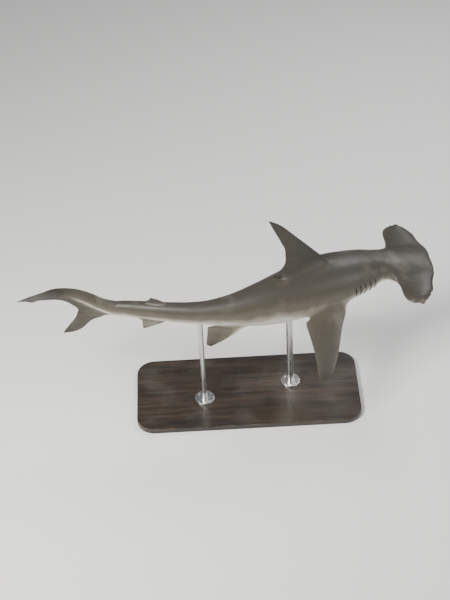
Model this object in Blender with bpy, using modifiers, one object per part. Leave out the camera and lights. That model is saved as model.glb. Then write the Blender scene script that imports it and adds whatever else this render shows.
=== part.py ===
"""A scalloped hammerhead shark at life size, swimming, held up by a plain display stand.

The shark is drawn straight first: x runs back from the snout, y to the animal's left and z up
to its back, all as shares of its length. swim() then lays that drawing along the curved swim
line. Metres, +Z up, the head towards +X, the origin on the floor under the middle of the model.
"""

import math

import bmesh
import bpy
import numpy as np
from mathutils import Matrix, Vector

# The animal
LENGTH = 2.5
GAP = 0.0003
RING_POINTS = 28
FIN_POINTS = 20
SECTION_POWER = 2.15
THINNEST_FIN = 0.0014
FIN_FULLNESS = 0.95
WELD = 0.00002

# The swim line: where the body points, in degrees to the left, at stations along it
HEADINGS = (
    (0.0, 6),
    (0.095, 6),
    (0.17, 23),
    (0.32, 24),
    (0.48, 8),
    (0.64, -12),
    (0.78, 0),
    (0.90, 29),
    (1.02, 40),
)
LINE_STEPS = 420
TAIL_LEAN = 28
TAIL_LEAN_FROM = 0.74
TAIL_LEAN_OVER = 0.20

# Station, half width, back above the line, belly below it
BODY = (
    (0.000, 0.040, 0.006, 0.006),
    (0.020, 0.047, 0.014, 0.013),
    (0.060, 0.047, 0.0205, 0.0200),
    (0.100, 0.0400, 0.0240, 0.0215),
    (0.130, 0.0430, 0.0310, 0.0275),
    (0.160, 0.0515, 0.0405, 0.0350),
    (0.200, 0.0580, 0.0505, 0.0425),
    (0.250, 0.0620, 0.0590, 0.0500),
    (0.300, 0.0600, 0.0605, 0.0540),
    (0.360, 0.0525, 0.0545, 0.0540),
    (0.420, 0.0420, 0.0450, 0.0465),
    (0.480, 0.0300, 0.0330, 0.0350),
    (0.540, 0.0225, 0.0250, 0.0260),
    (0.600, 0.0190, 0.0230, 0.0215),
    (0.660, 0.0170, 0.0210, 0.0190),
    (0.720, 0.0140, 0.0185, 0.0170),
    (0.800, 0.0090, 0.0140, 0.0120),
)

# Half of the hammer seen from above: its front edge as (across, station), then its wing end, its
# rear edge and the side of the neck as (station, across)
FRONT_EDGE = (
    (0.0, 0.0095),
    (0.022, 0.0060),
    (0.050, 0.0115),
    (0.066, 0.0185),
    (0.080, 0.0220),
    (0.096, 0.0250),
    (0.114, 0.0340),
)
WING_END = ((0.034, 0.1140), (0.0445, 0.1265), (0.057, 0.1350), (0.072, 0.1350), (0.084, 0.1285))
REAR_EDGE = ((0.0905, 0.1160), (0.0925, 0.1020), (0.0925, 0.0830), (0.0955, 0.0650), (0.1040, 0.0530))
NECK_SIDE = ((0.116, 0.0440), (0.1300, 0.0430))
HEAD_HALF = 0.1350
WING_THICKNESS = 0.0083
WING_FULLNESS = 0.72
WING_TIP_ROUND = 0.015
WING_FADE = ((0.088, 0.030), (0.040, 0.020))
HEAD_DROP = 0.004
HEAD_DROP_ENDS = (0.080, 0.050)
HEAD_BLEND = 3.0
HEAD_RINGS = 15
BROW_SWELL = 0.22
BROW_REACH = 0.017

# The bulge along the middle of the head: station, half width and how round it is at its sides
HEAD_BULGE = (
    (0.000, 0.0500, 0.90),
    (0.020, 0.0560, 0.95),
    (0.060, 0.0600, 0.95),
    (0.085, 0.0600, 0.85),
    (0.0955, 0.0590, 0.70),
    (0.104, 0.0520, 0.58),
    (0.116, 0.0442, 0.50),
    (0.130, 0.0430, 1 / SECTION_POWER),
)

# Where the body is parted, and how many rings each length has
PARTS = (
    ("gill_region", 0.130, 0.213, 5),
    ("trunk", 0.213, 0.440, 9),
    ("rear_trunk", 0.440, 0.600, 7),
    ("tail_stock", 0.600, 0.735, 6),
)

# Fin edges. Each is a row of points: share of the way out, station, place across and height.
# The first point is inside the body and the last is the tip.
DORSAL_FIRST_FRONT = (
    (0, 0.2320, 0, 0.0360),
    (0.12, 0.2495, 0, 0.0600),
    (0.30, 0.2810, 0, 0.0990),
    (0.60, 0.3265, 0, 0.1550),
    (0.85, 0.3640, 0, 0.1990),
    (1, 0.3880, 0, 0.2165),
)
DORSAL_FIRST_REAR = (
    (0, 0.346, 0, 0.028),
    (0.12, 0.3500, 0, 0.0560),
    (0.18, 0.3880, 0, 0.0600),
    (0.26, 0.3620, 0, 0.0770),
    (0.38, 0.3510, 0, 0.0960),
    (0.52, 0.3515, 0, 0.1240),
    (0.72, 0.3600, 0, 0.1490),
    (0.88, 0.3745, 0, 0.1830),
    (1, 0.3880, 0, 0.2160),
)
DORSAL_SECOND_FRONT = (
    (0, 0.624, 0, 0.008),
    (0.25, 0.6170, 0, 0.0225),
    (0.60, 0.6330, 0, 0.0325),
    (1, 0.6485, 0, 0.0362),
)
DORSAL_SECOND_REAR = (
    (0, 0.640, 0, 0.008),
    (0.25, 0.6450, 0, 0.0210),
    (0.38, 0.6790, 0, 0.0232),
    (0.55, 0.6600, 0, 0.0262),
    (0.80, 0.6510, 0, 0.0315),
    (1, 0.6487, 0, 0.0360),
)
ANAL_FRONT = (
    (0, 0.624, 0, -0.006),
    (0.25, 0.6150, 0, -0.0205),
    (0.60, 0.6380, 0, -0.0380),
    (1, 0.6680, 0, -0.0522),
)
ANAL_REAR = (
    (0, 0.644, 0, -0.006),
    (0.25, 0.6500, 0, -0.0190),
    (0.40, 0.6860, 0, -0.0222),
    (0.55, 0.6705, 0, -0.0280),
    (0.80, 0.6705, 0, -0.0410),
    (1, 0.6700, 0, -0.0510),
)
PECTORAL_FRONT = (
    (0, 0.2270, 0.026, -0.006),
    (0.12, 0.2300, 0.0480, -0.0300),
    (0.40, 0.2610, 0.0845, -0.0690),
    (0.62, 0.2825, 0.1105, -0.0985),
    (0.84, 0.3080, 0.1342, -0.1260),
    (1, 0.3280, 0.1450, -0.1390),
)
PECTORAL_REAR = (
    (0, 0.2960, 0.024, -0.008),
    (0.12, 0.2990, 0.0440, -0.0340),
    (0.20, 0.3320, 0.0500, -0.0420),
    (0.40, 0.3330, 0.0790, -0.0735),
    (0.62, 0.3365, 0.1067, -0.1017),
    (0.84, 0.3425, 0.1319, -0.1280),
    (0.94, 0.3440, 0.1395, -0.1350),
    (1, 0.3310, 0.1450, -0.1390),
)
PELVIC_FRONT = (
    (0, 0.4540, 0.006, -0.010),
    (0.22, 0.4470, 0.0130, -0.0340),
    (0.60, 0.4850, 0.0285, -0.0500),
    (1, 0.5240, 0.0405, -0.0615),
)
PELVIC_REAR = (
    (0, 0.4900, 0.006, -0.008),
    (0.22, 0.4930, 0.0130, -0.0260),
    (0.36, 0.5290, 0.0130, -0.0290),
    (0.60, 0.5305, 0.0245, -0.0400),
    (0.88, 0.5335, 0.0385, -0.0570),
    (1, 0.5250, 0.0407, -0.0615),
)
LOWER_LOBE_FRONT = (
    (0, 0.7600, 0, 0.0000),
    (0.15, 0.7490, 0, -0.0150),
    (0.45, 0.7800, 0, -0.0320),
    (0.75, 0.8080, 0, -0.0625),
    (0.90, 0.8260, 0, -0.0722),
    (1, 0.8420, 0, -0.0755),
)
LOWER_LOBE_REAR = (
    (0, 0.7900, 0, 0.0100),
    (0.15, 0.8050, 0, 0.0030),
    (0.45, 0.8130, 0, -0.0190),
    (0.75, 0.8290, 0, -0.0465),
    (0.90, 0.8385, 0, -0.0650),
    (1, 0.8424, 0, -0.0750),
)
UPPER_LOBE_TOP = (
    (0, 0.7350, 0, 0.0178),
    (0.12, 0.7573, 0, 0.0325),
    (0.26, 0.7940, 0, 0.0580),
    (0.42, 0.8380, 0, 0.0860),
    (0.64, 0.8900, 0, 0.1215),
    (0.84, 0.9400, 0, 0.1525),
    (1, 0.9770, 0, 0.1580),
)
UPPER_LOBE_UNDER = (
    (0, 0.7350, 0, -0.0164),
    (0.12, 0.7700, 0, -0.0150),
    (0.26, 0.8020, 0, 0.0015),
    (0.42, 0.8340, 0, 0.0375),
    (0.64, 0.8850, 0, 0.0785),
    (0.79, 0.9140, 0, 0.1050),
    (0.82, 0.9220, 0, 0.1085),
    (0.92, 0.9500, 0, 0.1370),
    (1, 0.9768, 0, 0.1575),
)

# Half thickness of each fin at the root and the tip, in metres, and the way its paired ones are thick
FIN_THICKNESS = {
    "dorsal_first": (0.021, 0.0020),
    "dorsal_second": (0.010, 0.0014),
    "anal": (0.010, 0.0014),
    "pectoral": (0.024, 0.0022),
    "pelvic": (0.011, 0.0016),
    "upper_lobe": (0.0330, 0.0016),
    "lower_lobe": (0.0065, 0.0016),
}
MEDIAN = Vector((0.0, 1.0, 0.0))
PECTORAL_FACING = (0.72, 0.69)
PELVIC_FACING = (0.62, 0.78)

# Eyes: station, place across and radius, as shares of the length
EYE_PLACE = (0.0570, 0.1302, -0.0045)
EYE_RADIUS = 0.0065

# Stand, in metres
BODY_HEIGHT = 0.66
BASE_SIZE = (1.24, 0.56, 0.030)
BASE_CORNER = 0.10
BASE_EDGE = 0.004
ROD_STATIONS = (("front", 0.345), ("rear", 0.545))
ROD_RADIUS = {"front": 0.018, "rear": 0.014}
FLANGE_RADIUS = 0.055
FLANGE_HEIGHT = 0.012
FLANGE_EDGE = 0.003

COLOURS = {
    "back": (0.20, 0.185, 0.165),
    "fin": (0.17, 0.16, 0.145),
    "eye": (0.62, 0.58, 0.42),
    "board": (0.035, 0.034, 0.033),
    "steel": (0.55, 0.55, 0.54),
}


for old in list(bpy.data.objects):
    bpy.data.objects.remove(old)
SHARK = bpy.data.collections.new("scalloped_hammerhead_shark")
CUTTERS = bpy.data.collections.new("cutters")
bpy.context.scene.collection.children.link(SHARK)
bpy.context.scene.collection.children.link(CUTTERS)


def smooth_curve(points):
    """A curve through (place, value) points that never overshoots them."""
    table = np.array(points, dtype=float)
    x = table[:, 0]
    y = table[:, 1:]
    step = np.diff(x)[:, None]
    rise = np.diff(y, axis=0) / step
    slope = np.zeros_like(y)
    ahead = 2 * step[1:] + step[:-1]
    behind = step[1:] + 2 * step[:-1]
    level = rise[:-1] * rise[1:] <= 0
    safe_before = np.where(level, 1.0, rise[:-1])
    safe_after = np.where(level, 1.0, rise[1:])
    slope[1:-1] = np.where(level, 0.0, (ahead + behind) / (ahead / safe_before + behind / safe_after))
    slope[0] = rise[0]
    slope[-1] = rise[-1]

    def value(place):
        k = int(np.clip(np.searchsorted(x, place) - 1, 0, len(x) - 2))
        h = x[k + 1] - x[k]
        t = float(np.clip((place - x[k]) / h, 0.0, 1.0))
        start = (1 + 2 * t) * (1 - t) ** 2 * y[k] + t * (1 - t) ** 2 * h * slope[k]
        finish = t * t * (3 - 2 * t) * y[k + 1] - t * t * (1 - t) * h * slope[k + 1]
        both = start + finish
        return float(both[0]) if len(both) == 1 else both

    return value


def even_curve(points):
    """A curve through points in space, by the share of its length that is behind."""
    table = np.array(points, dtype=float)
    run = np.concatenate([[0.0], np.cumsum(np.linalg.norm(np.diff(table, axis=0), axis=1))])
    return smooth_curve(np.column_stack([run / run[-1], table]))


def ease(value):
    t = min(max(value, 0.0), 1.0)
    return t * t * (3 - 2 * t)


def swim_line():
    """Stations along the body, the points of the swim line in plan and the headings there."""
    heading = smooth_curve(HEADINGS)
    stations = np.linspace(0.0, 1.05, LINE_STEPS + 1)
    turn = np.radians([heading(s) for s in stations])
    back = -np.stack([np.cos(turn), np.sin(turn)], axis=1)
    points = np.zeros_like(back)
    points[1:] = np.cumsum((back[1:] + back[:-1]) / 2 * (stations[1] * LENGTH), axis=0)
    return stations, points, turn


LINE = swim_line()


def swim(x, y, z):
    """The place in the swim pose of a point of the straight drawing."""
    lean = math.radians(TAIL_LEAN) * ease((x - TAIL_LEAN_FROM) / TAIL_LEAN_OVER)
    side = y * math.cos(lean) - z * math.sin(lean)
    up = z * math.cos(lean) + y * math.sin(lean)
    stations, points, turn = LINE
    where = [np.interp(x, stations, points[:, k]) for k in (0, 1)]
    facing = np.interp(x, stations, turn)
    return Vector((
        where[0] - math.sin(facing) * side * LENGTH,
        where[1] + math.cos(facing) * side * LENGTH,
        BODY_HEIGHT + up * LENGTH,
    ))


body_size = smooth_curve(BODY)
head_bulge = smooth_curve(HEAD_BULGE)
front_edge = smooth_curve(FRONT_EDGE)
rear_edge = smooth_curve(
    [(0.0, 0.135), (0.043, 0.130)]
    + [(y, x) for x, y in reversed(REAR_EDGE)]
    + [(WING_END[-1][1], WING_END[-1][0]), (HEAD_HALF, WING_END[-2][0])]
)
wing_front = smooth_curve(FRONT_EDGE + tuple((y, x) for x, y in WING_END[1:3]))
head_outline = even_curve(WING_END + REAR_EDGE + NECK_SIDE)


def foil(along, fullness):
    """Thickness of an aerofoil at a share of its chord, with 1 at its thickest."""
    crest = 0.5 / (0.5 + fullness)
    return math.sqrt(along / crest) * ((1 - along) / (1 - crest)) ** fullness


def wing_height(x, y):
    """Half thickness of the hammer's wing, an aerofoil that ends round and swells by the eye."""
    across = abs(y)
    front = wing_front(across)
    along = min(max((x - front) / max(rear_edge(across) - front, 1e-4), 0.0), 1.0)
    tip = min(max((across - HEAD_HALF) / WING_TIP_ROUND + 1, 0.0), 1.0)
    away = math.hypot(x - EYE_PLACE[0], across - EYE_PLACE[1]) / BROW_REACH
    brow = 1 + BROW_SWELL * math.exp(-away * away)
    (back_from, back_over), (side_from, side_over) = WING_FADE
    fade = 1 - ease((x - back_from) / back_over) * ease((side_from + side_over - across) / side_over)
    return WING_THICKNESS * foil(along, WING_FULLNESS) * math.sqrt(1 - tip * tip) * brow * fade


def surface(x, y, top):
    """Height of the head's skin over a place in the straight drawing."""
    height = body_size(x)[1 if top else 2]
    width, roundness = head_bulge(x)
    middle = height * (1 - min(abs(y) / width, 1.0) ** SECTION_POWER) ** roundness
    both = (middle ** HEAD_BLEND + wing_height(x, y) ** HEAD_BLEND) ** (1 / HEAD_BLEND)
    level = -HEAD_DROP * (1 - ease((x - HEAD_DROP_ENDS[0]) / HEAD_DROP_ENDS[1]))
    return level + (both if top else -both)


def section_angles():
    return [2 * math.pi * k / RING_POINTS for k in range(RING_POINTS)]


def power(value):
    return math.copysign(abs(value) ** (2 / SECTION_POWER), value)


def body_ring(x):
    """One ring of the body, from the left side over the back."""
    width, back, belly = body_size(x)
    ring = []
    for angle in section_angles():
        height = back if math.sin(angle) > 0 else belly
        ring.append(swim(x, width * power(math.cos(angle)), height * power(math.sin(angle))))
    return ring


def head_ring(share):
    """One ring of the head: it runs from the midline out to a point of the hammer's outline."""
    side_x, side_y = head_outline(share)
    middle = FRONT_EDGE[0][1] + (NECK_SIDE[-1][0] - FRONT_EDGE[0][1]) * share ** 0.9
    first_x, first_y = WING_END[0]
    ring = []
    for angle in section_angles():
        out = power(math.cos(angle))
        run = middle + (side_x - middle) * out * out
        first = FRONT_EDGE[0][1] + (first_x - FRONT_EDGE[0][1]) * out * out
        x = run + (front_edge(abs(out) * first_y) - first) * (1 - share) ** 3
        y = out * side_y
        edge = abs(out) > 0.9999 or share == 0
        level = surface(x, y, True) + surface(x, y, False)
        z = level / 2 if edge else surface(x, y, math.sin(angle) > 0)
        ring.append(swim(x, y, z))
    return ring


def foil_ring(lead, trail, side, thickness, fullness):
    """A fin section between its front and rear points. side is the way the section is thick."""
    ring = []
    for k in range(FIN_POINTS):
        angle = 2 * math.pi * k / FIN_POINTS
        along = (1 - math.cos(angle)) / 2
        depth = thickness * foil(along, fullness)
        if k % (FIN_POINTS // 2):
            depth = max(depth, THINNEST_FIN / 2 / LENGTH)
        ring.append(lead + (trail - lead) * along + side * math.copysign(depth, math.sin(angle)))
    return ring


def point_ring(ring):
    """A ring drawn in to one point, which closes a tip."""
    middle = sum(ring, Vector()) / len(ring)
    return [middle] * len(ring)


def new_mesh(name, rings):
    """A closed solid through rings that have the same number of points."""
    work = bmesh.new()
    rows = [[work.verts.new(point) for point in ring] for ring in rings]
    for first, second in zip(rows, rows[1:]):
        for k in range(len(first)):
            following = (k + 1) % len(first)
            work.faces.new((first[k], first[following], second[following]))
            work.faces.new((first[k], second[following], second[k]))
    work.faces.new(rows[0])
    work.faces.new(rows[-1])
    bmesh.ops.remove_doubles(work, verts=work.verts, dist=WELD)
    bmesh.ops.dissolve_degenerate(work, edges=work.edges, dist=WELD / 2)
    bmesh.ops.recalc_face_normals(work, faces=work.faces)
    mesh = bpy.data.meshes.new(name)
    work.to_mesh(mesh)
    work.free()
    return mesh


def grown(mesh, gap=GAP):
    """The solid made a gap larger all round."""
    work = bmesh.new()
    work.from_mesh(mesh)
    work.normal_update()
    moves = [vertex.normal * gap * min(vertex.calc_shell_factor(), 3.0) for vertex in work.verts]
    for vertex, move in zip(work.verts, moves):
        vertex.co += move
    work.to_mesh(mesh)
    work.free()
    return mesh


def material(name, colour, roughness, metallic=0.0):
    made = bpy.data.materials.new(name)
    made.use_nodes = True
    shader = made.node_tree.nodes["Principled BSDF"]
    shader.inputs["Base Color"].default_value = (*colour, 1.0)
    shader.inputs["Roughness"].default_value = roughness
    shader.inputs["Metallic"].default_value = metallic
    return made


def finish(obj, colour, roughness, metallic=0.0, sharp=40):
    """Puts a piece in the model with its own material and smooth round faces."""
    SHARK.objects.link(obj)
    obj.data.materials.append(material(obj.name, COLOURS[colour], roughness, metallic))
    obj.data.shade_smooth()
    obj.data.set_sharp_from_angle(angle=math.radians(sharp))
    return obj


def as_cutter(obj):
    CUTTERS.objects.link(obj)
    obj.hide_render = True
    obj.display_type = "WIRE"
    return obj


def cut(obj, cutter):
    change = obj.modifiers.new("cut by " + cutter.name, "BOOLEAN")
    change.operation = "DIFFERENCE"
    change.solver = "EXACT"
    change.object = cutter


def spaced(start, end, count):
    return [start + (end - start) * k / (count - 1) for k in range(count)]


def make_head():
    rings = [head_ring(share) for share in spaced(0.0, 1.0, HEAD_RINGS)]
    rings[-1] = body_ring(NECK_SIDE[-1][0] - GAP / LENGTH)
    return finish(bpy.data.objects.new("head", new_mesh("head", rings)), "back", 0.5)


def make_body():
    for name, start, end, count in PARTS:
        rings = [body_ring(x) for x in spaced(start, end - GAP / LENGTH, count)]
        finish(bpy.data.objects.new(name, new_mesh(name, rings)), "back", 0.5)


def make_body_cutter():
    """The whole body a gap larger all round, which trims the fins and rods."""
    rings = []
    for name, start, end, count in PARTS:
        rings += [body_ring(x) for x in spaced(start, end, count)[:-1]]
    rings += [body_ring(x) for x in spaced(PARTS[-1][2], 0.795, 3)]
    return as_cutter(bpy.data.objects.new("body_cutter", grown(new_mesh("body_cutter", rings))))


def tip_spaced(count):
    """Shares of the way out, closer together towards the tip."""
    return [math.sin(math.pi / 2 * k / (count - 1)) for k in range(count)]


def fin_rings(front, rear, side, thickness, count):
    lead = smooth_curve(front)
    trail = smooth_curve(rear)
    rings = []
    for share in tip_spaced(count):
        root, tip = thickness
        depth = tip + (root - tip) * (1 - share) ** 1.5
        ring = foil_ring(Vector(lead(share)), Vector(trail(share)), side, depth / LENGTH, FIN_FULLNESS)
        rings.append([swim(*point) for point in ring])
    return rings[:-1] + [point_ring(rings[-1])]


def make_fin(name, front, rear, thickness, cutters, side=MEDIAN, count=12):
    rings = fin_rings(front, rear, side, thickness, count)
    fin = finish(bpy.data.objects.new(name, new_mesh(name, rings)), "fin", 0.55)
    for cutter in cutters:
        cut(fin, cutter)
    return fin


def on_side(points, way):
    """The same edge on the left (1) or the right (-1)."""
    return [(share, x, y * way, z) for share, x, y, z in points]


def make_median_fins(body):
    thickness = FIN_THICKNESS["dorsal_first"]
    make_fin("dorsal_fin_first", DORSAL_FIRST_FRONT, DORSAL_FIRST_REAR, thickness, [body], count=16)
    thickness = FIN_THICKNESS["dorsal_second"]
    make_fin("dorsal_fin_second", DORSAL_SECOND_FRONT, DORSAL_SECOND_REAR, thickness, [body], count=10)
    make_fin("anal_fin", ANAL_FRONT, ANAL_REAR, FIN_THICKNESS["anal"], [body], count=10)


def make_paired_fins(body):
    for word, way in (("left", 1), ("right", -1)):
        facing = Vector((0.0, PECTORAL_FACING[0] * way, PECTORAL_FACING[1]))
        front = on_side(PECTORAL_FRONT, way)
        rear = on_side(PECTORAL_REAR, way)
        make_fin("pectoral_fin_" + word, front, rear, FIN_THICKNESS["pectoral"], [body], facing, 15)
        facing = Vector((0.0, PELVIC_FACING[0] * way, PELVIC_FACING[1]))
        front = on_side(PELVIC_FRONT, way)
        rear = on_side(PELVIC_REAR, way)
        make_fin("pelvic_fin_" + word, front, rear, FIN_THICKNESS["pelvic"], [body], facing, 10)


def upper_lobe_rings():
    """The upper lobe of the tail, which begins as a section of the tail stock."""
    top = smooth_curve(UPPER_LOBE_TOP)
    under = smooth_curve(UPPER_LOBE_UNDER)
    rings = []
    root, tip = FIN_THICKNESS["upper_lobe"]
    for share in tip_spaced(18):
        thickness = tip + (root - tip) * (1 - share) ** 3.2
        fullness = 0.5 + 0.4 * ease(share / 0.35)
        ring = foil_ring(Vector(top(share)), Vector(under(share)), MEDIAN, thickness / LENGTH, fullness)
        rings.append([swim(*point) for point in ring])
    return rings[:-1] + [point_ring(rings[-1])]


def make_tail_fin(body):
    name = "caudal_fin_upper_lobe"
    finish(bpy.data.objects.new(name, new_mesh(name, upper_lobe_rings())), "fin", 0.55)
    larger = grown(new_mesh("tail_cutter", upper_lobe_rings()), 2.5 * GAP)
    tail_cutter = as_cutter(bpy.data.objects.new("tail_cutter", larger))
    cutters = [tail_cutter, body]
    make_fin("caudal_fin_lower_lobe", LOWER_LOBE_FRONT, LOWER_LOBE_REAR, FIN_THICKNESS["lower_lobe"], cutters)


def eyeball(name, way, radius):
    """A round eye in the end of the hammer."""
    x, y, z = EYE_PLACE
    work = bmesh.new()
    bmesh.ops.create_uvsphere(work, u_segments=20, v_segments=12, radius=radius)
    bmesh.ops.translate(work, verts=work.verts, vec=swim(x, y * way, z))
    mesh = bpy.data.meshes.new(name)
    work.to_mesh(mesh)
    work.free()
    return bpy.data.objects.new(name, mesh)


def make_eyes(head):
    for word, way in (("left", 1), ("right", -1)):
        radius = EYE_RADIUS * LENGTH
        cut(head, as_cutter(eyeball("socket_" + word, way, radius + GAP)))
        finish(eyeball("eye_" + word, way, radius), "eye", 0.1)


def centre_model():
    """Moves the whole shark so that the origin is under the middle of its box."""
    pieces = list(SHARK.objects) + list(CUTTERS.objects)
    corners = np.array([vertex.co for obj in SHARK.objects for vertex in obj.data.vertices])
    middle = (corners.min(axis=0) + corners.max(axis=0)) / 2
    shift = Vector((-middle[0], -middle[1], 0.0))
    for obj in pieces:
        obj.data.transform(Matrix.Translation(shift))
    return shift


def make_base(middle):
    """A flat board with round corners and eased edges."""
    curve = bpy.data.curves.new("stand_base", "CURVE")
    curve.dimensions = "2D"
    curve.fill_mode = "BOTH"
    line = curve.splines.new("POLY")
    half_x = BASE_SIZE[0] / 2 - BASE_CORNER
    half_y = BASE_SIZE[1] / 2 - BASE_CORNER
    outline = []
    for corner in range(4):
        centre = (half_x if corner in (0, 3) else -half_x, half_y if corner < 2 else -half_y)
        for step in range(9):
            angle = math.pi / 2 * (corner + step / 8)
            x = centre[0] + BASE_CORNER * math.cos(angle)
            y = centre[1] + BASE_CORNER * math.sin(angle)
            outline.append((x, y))
    line.points.add(len(outline) - 1)
    for point, (x, y) in zip(line.points, outline):
        point.co = (middle.x + x, middle.y + y, BASE_SIZE[2] / 2, 1)
    line.use_cyclic_u = True
    curve.extrude = BASE_SIZE[2] / 2 - BASE_EDGE
    curve.bevel_depth = BASE_EDGE
    curve.offset = -BASE_EDGE
    curve.bevel_resolution = 1
    shape = bpy.data.objects.new("base_outline", curve)
    bpy.context.scene.collection.objects.link(shape)
    bpy.context.view_layer.update()
    mesh = bpy.data.meshes.new_from_object(shape.evaluated_get(bpy.context.evaluated_depsgraph_get()))
    bpy.data.objects.remove(shape)
    work = bmesh.new()
    work.from_mesh(mesh)
    bmesh.ops.remove_doubles(work, verts=work.verts, dist=WELD)
    bmesh.ops.recalc_face_normals(work, faces=work.faces)
    work.to_mesh(mesh)
    work.free()
    return finish(bpy.data.objects.new("stand_base", mesh), "board", 0.35, sharp=30)


def turned(name, profile, place, colour, roughness, metallic):
    """A turned piece: a closed profile of (radius, height) points spun round an upright axis."""
    mesh = bpy.data.meshes.new(name)
    count = len(profile)
    mesh.from_pydata([(r, 0, z) for r, z in profile], [(k, (k + 1) % count) for k in range(count)], [])
    obj = bpy.data.objects.new(name, mesh)
    obj.location = place
    spin = obj.modifiers.new("turn", "SCREW")
    spin.steps = 32
    spin.render_steps = 32
    spin.use_merge_vertices = True
    spin.merge_threshold = WELD
    spin.use_normal_calculate = True
    return finish(obj, colour, roughness, metallic)


def make_rod(word, foot, top, body):
    radius = ROD_RADIUS[word]
    bottom = BASE_SIZE[2] + GAP
    bpy.ops.mesh.primitive_cylinder_add(
        vertices=32, radius=radius, depth=top - bottom, location=(foot.x, foot.y, (top + bottom) / 2)
    )
    rod = bpy.context.object
    rod.name = "stand_rod_" + word
    rod.data.name = rod.name
    for collection in list(rod.users_collection):
        collection.objects.unlink(rod)
    finish(rod, "steel", 0.3, 1.0)
    cut(rod, body)
    inner = radius + GAP
    high = bottom + FLANGE_HEIGHT
    profile = [
        (inner, high),
        (FLANGE_RADIUS - FLANGE_EDGE, high),
        (FLANGE_RADIUS, high - FLANGE_EDGE),
        (FLANGE_RADIUS, bottom),
        (inner, bottom),
    ]
    turned("stand_flange_" + word, profile, (foot.x, foot.y, 0), "steel", 0.3, 1.0)


def make_stand(shift, body):
    feet = {word: swim(station, 0, 0) + shift for word, station in ROD_STATIONS}
    middle = (feet["front"] + feet["rear"]) / 2
    make_base(middle)
    for word, foot in feet.items():
        make_rod(word, foot, BODY_HEIGHT, body)


def main():
    head = make_head()
    make_body()
    body = make_body_cutter()
    make_median_fins(body)
    make_paired_fins(body)
    make_tail_fin(body)
    make_eyes(head)
    shift = centre_model()
    make_stand(shift, body)


main()
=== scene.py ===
"""A scalloped hammerhead shark at life size on its display stand: one skin over body and fins, eyes
with lids, a mouth with its teeth, gill slits and sensory pores, and the finish of the stand.

The skin is made straight: x runs back from the snout, y to the animal's left and z up to its back.
swim() then lays it along the curved swim line, as the solids of the frame are laid.
"""

import math

import bmesh
import bpy
import numpy as np
from mathutils import Matrix, Vector


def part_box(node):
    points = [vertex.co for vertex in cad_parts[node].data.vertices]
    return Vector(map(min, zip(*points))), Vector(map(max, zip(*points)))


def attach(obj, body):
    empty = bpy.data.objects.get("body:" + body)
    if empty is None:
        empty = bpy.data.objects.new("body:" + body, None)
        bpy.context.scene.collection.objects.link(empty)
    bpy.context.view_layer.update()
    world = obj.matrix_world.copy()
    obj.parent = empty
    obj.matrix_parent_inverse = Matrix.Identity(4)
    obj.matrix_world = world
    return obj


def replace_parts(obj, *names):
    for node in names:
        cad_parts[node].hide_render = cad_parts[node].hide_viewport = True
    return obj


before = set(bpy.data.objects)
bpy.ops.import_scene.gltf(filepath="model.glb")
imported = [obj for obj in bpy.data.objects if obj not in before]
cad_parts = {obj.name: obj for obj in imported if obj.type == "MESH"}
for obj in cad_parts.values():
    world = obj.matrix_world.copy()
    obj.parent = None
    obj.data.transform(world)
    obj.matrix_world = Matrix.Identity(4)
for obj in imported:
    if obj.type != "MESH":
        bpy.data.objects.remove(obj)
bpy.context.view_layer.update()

# The animal, in metres where no share is said. Shares are of its length, and so are stations, which
# run back from the snout.
LENGTH = 2.5
BODY_HEIGHT = 0.66
SECTION_POWER = 2.15
THINNEST_FIN = 0.0014
FIN_FULLNESS = 0.95
WELD = 0.00002
SLIVER = 0.0001

# The swim line: station and heading in degrees. The tail leans over by some degrees behind a station.
HEADINGS = (
    (0.0, 6),
    (0.095, 6),
    (0.17, 23),
    (0.32, 24),
    (0.48, 8),
    (0.64, -12),
    (0.78, 0),
    (0.90, 29),
    (1.02, 40),
)
TAIL_LEAN = 28
TAIL_LEAN_FROM = 0.74
TAIL_LEAN_OVER = 0.20
LINE_STEPS = 421
LINE_END = 1.05

# Body: station, half width, back above the line, belly below it. Past the tail stock it is the
# muscle that runs up into the upper lobe.
BODY = (
    (0.000, 0.040, 0.006, 0.006),
    (0.020, 0.047, 0.014, 0.013),
    (0.060, 0.047, 0.0205, 0.0200),
    (0.100, 0.0400, 0.0240, 0.0215),
    (0.130, 0.0430, 0.0310, 0.0275),
    (0.160, 0.0515, 0.0405, 0.0350),
    (0.200, 0.0580, 0.0505, 0.0425),
    (0.250, 0.0620, 0.0590, 0.0500),
    (0.300, 0.0600, 0.0605, 0.0540),
    (0.360, 0.0525, 0.0545, 0.0540),
    (0.420, 0.0420, 0.0450, 0.0465),
    (0.480, 0.0300, 0.0330, 0.0350),
    (0.540, 0.0225, 0.0250, 0.0260),
    (0.600, 0.0190, 0.0230, 0.0215),
    (0.660, 0.0170, 0.0210, 0.0190),
    (0.720, 0.0140, 0.0185, 0.0170),
    (0.760, 0.0110, 0.0130, 0.0130),
    (0.800, 0.0068, 0.0085, 0.0085),
    (0.830, 0.0040, 0.0055, 0.0055),
    (0.852, 0.0012, 0.0020, 0.0020),
)
MUSCLE_RISE = (
    (0.72, 0.0),
    (0.735, 0.0008),
    (0.76, 0.0085),
    (0.80, 0.0370),
    (0.83, 0.0610),
    (0.852, 0.0790),
)

# Half of the hammer from above: front edge (across, station), then wing end, rear edge and neck
FRONT_EDGE = (
    (0.0, 0.0095),
    (0.022, 0.0060),
    (0.050, 0.0115),
    (0.066, 0.0185),
    (0.080, 0.0220),
    (0.096, 0.0250),
    (0.114, 0.0340),
)
WING_END = ((0.034, 0.1140), (0.0445, 0.1265), (0.057, 0.1350), (0.072, 0.1350), (0.084, 0.1285))
REAR_EDGE = ((0.0905, 0.1160), (0.0925, 0.1020), (0.0925, 0.0830), (0.0955, 0.0650), (0.1040, 0.0530))
NECK_SIDE = ((0.116, 0.0440), (0.1300, 0.0430))
HEAD_HALF = 0.1350
OUTLINE_STEPS = 900

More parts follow.
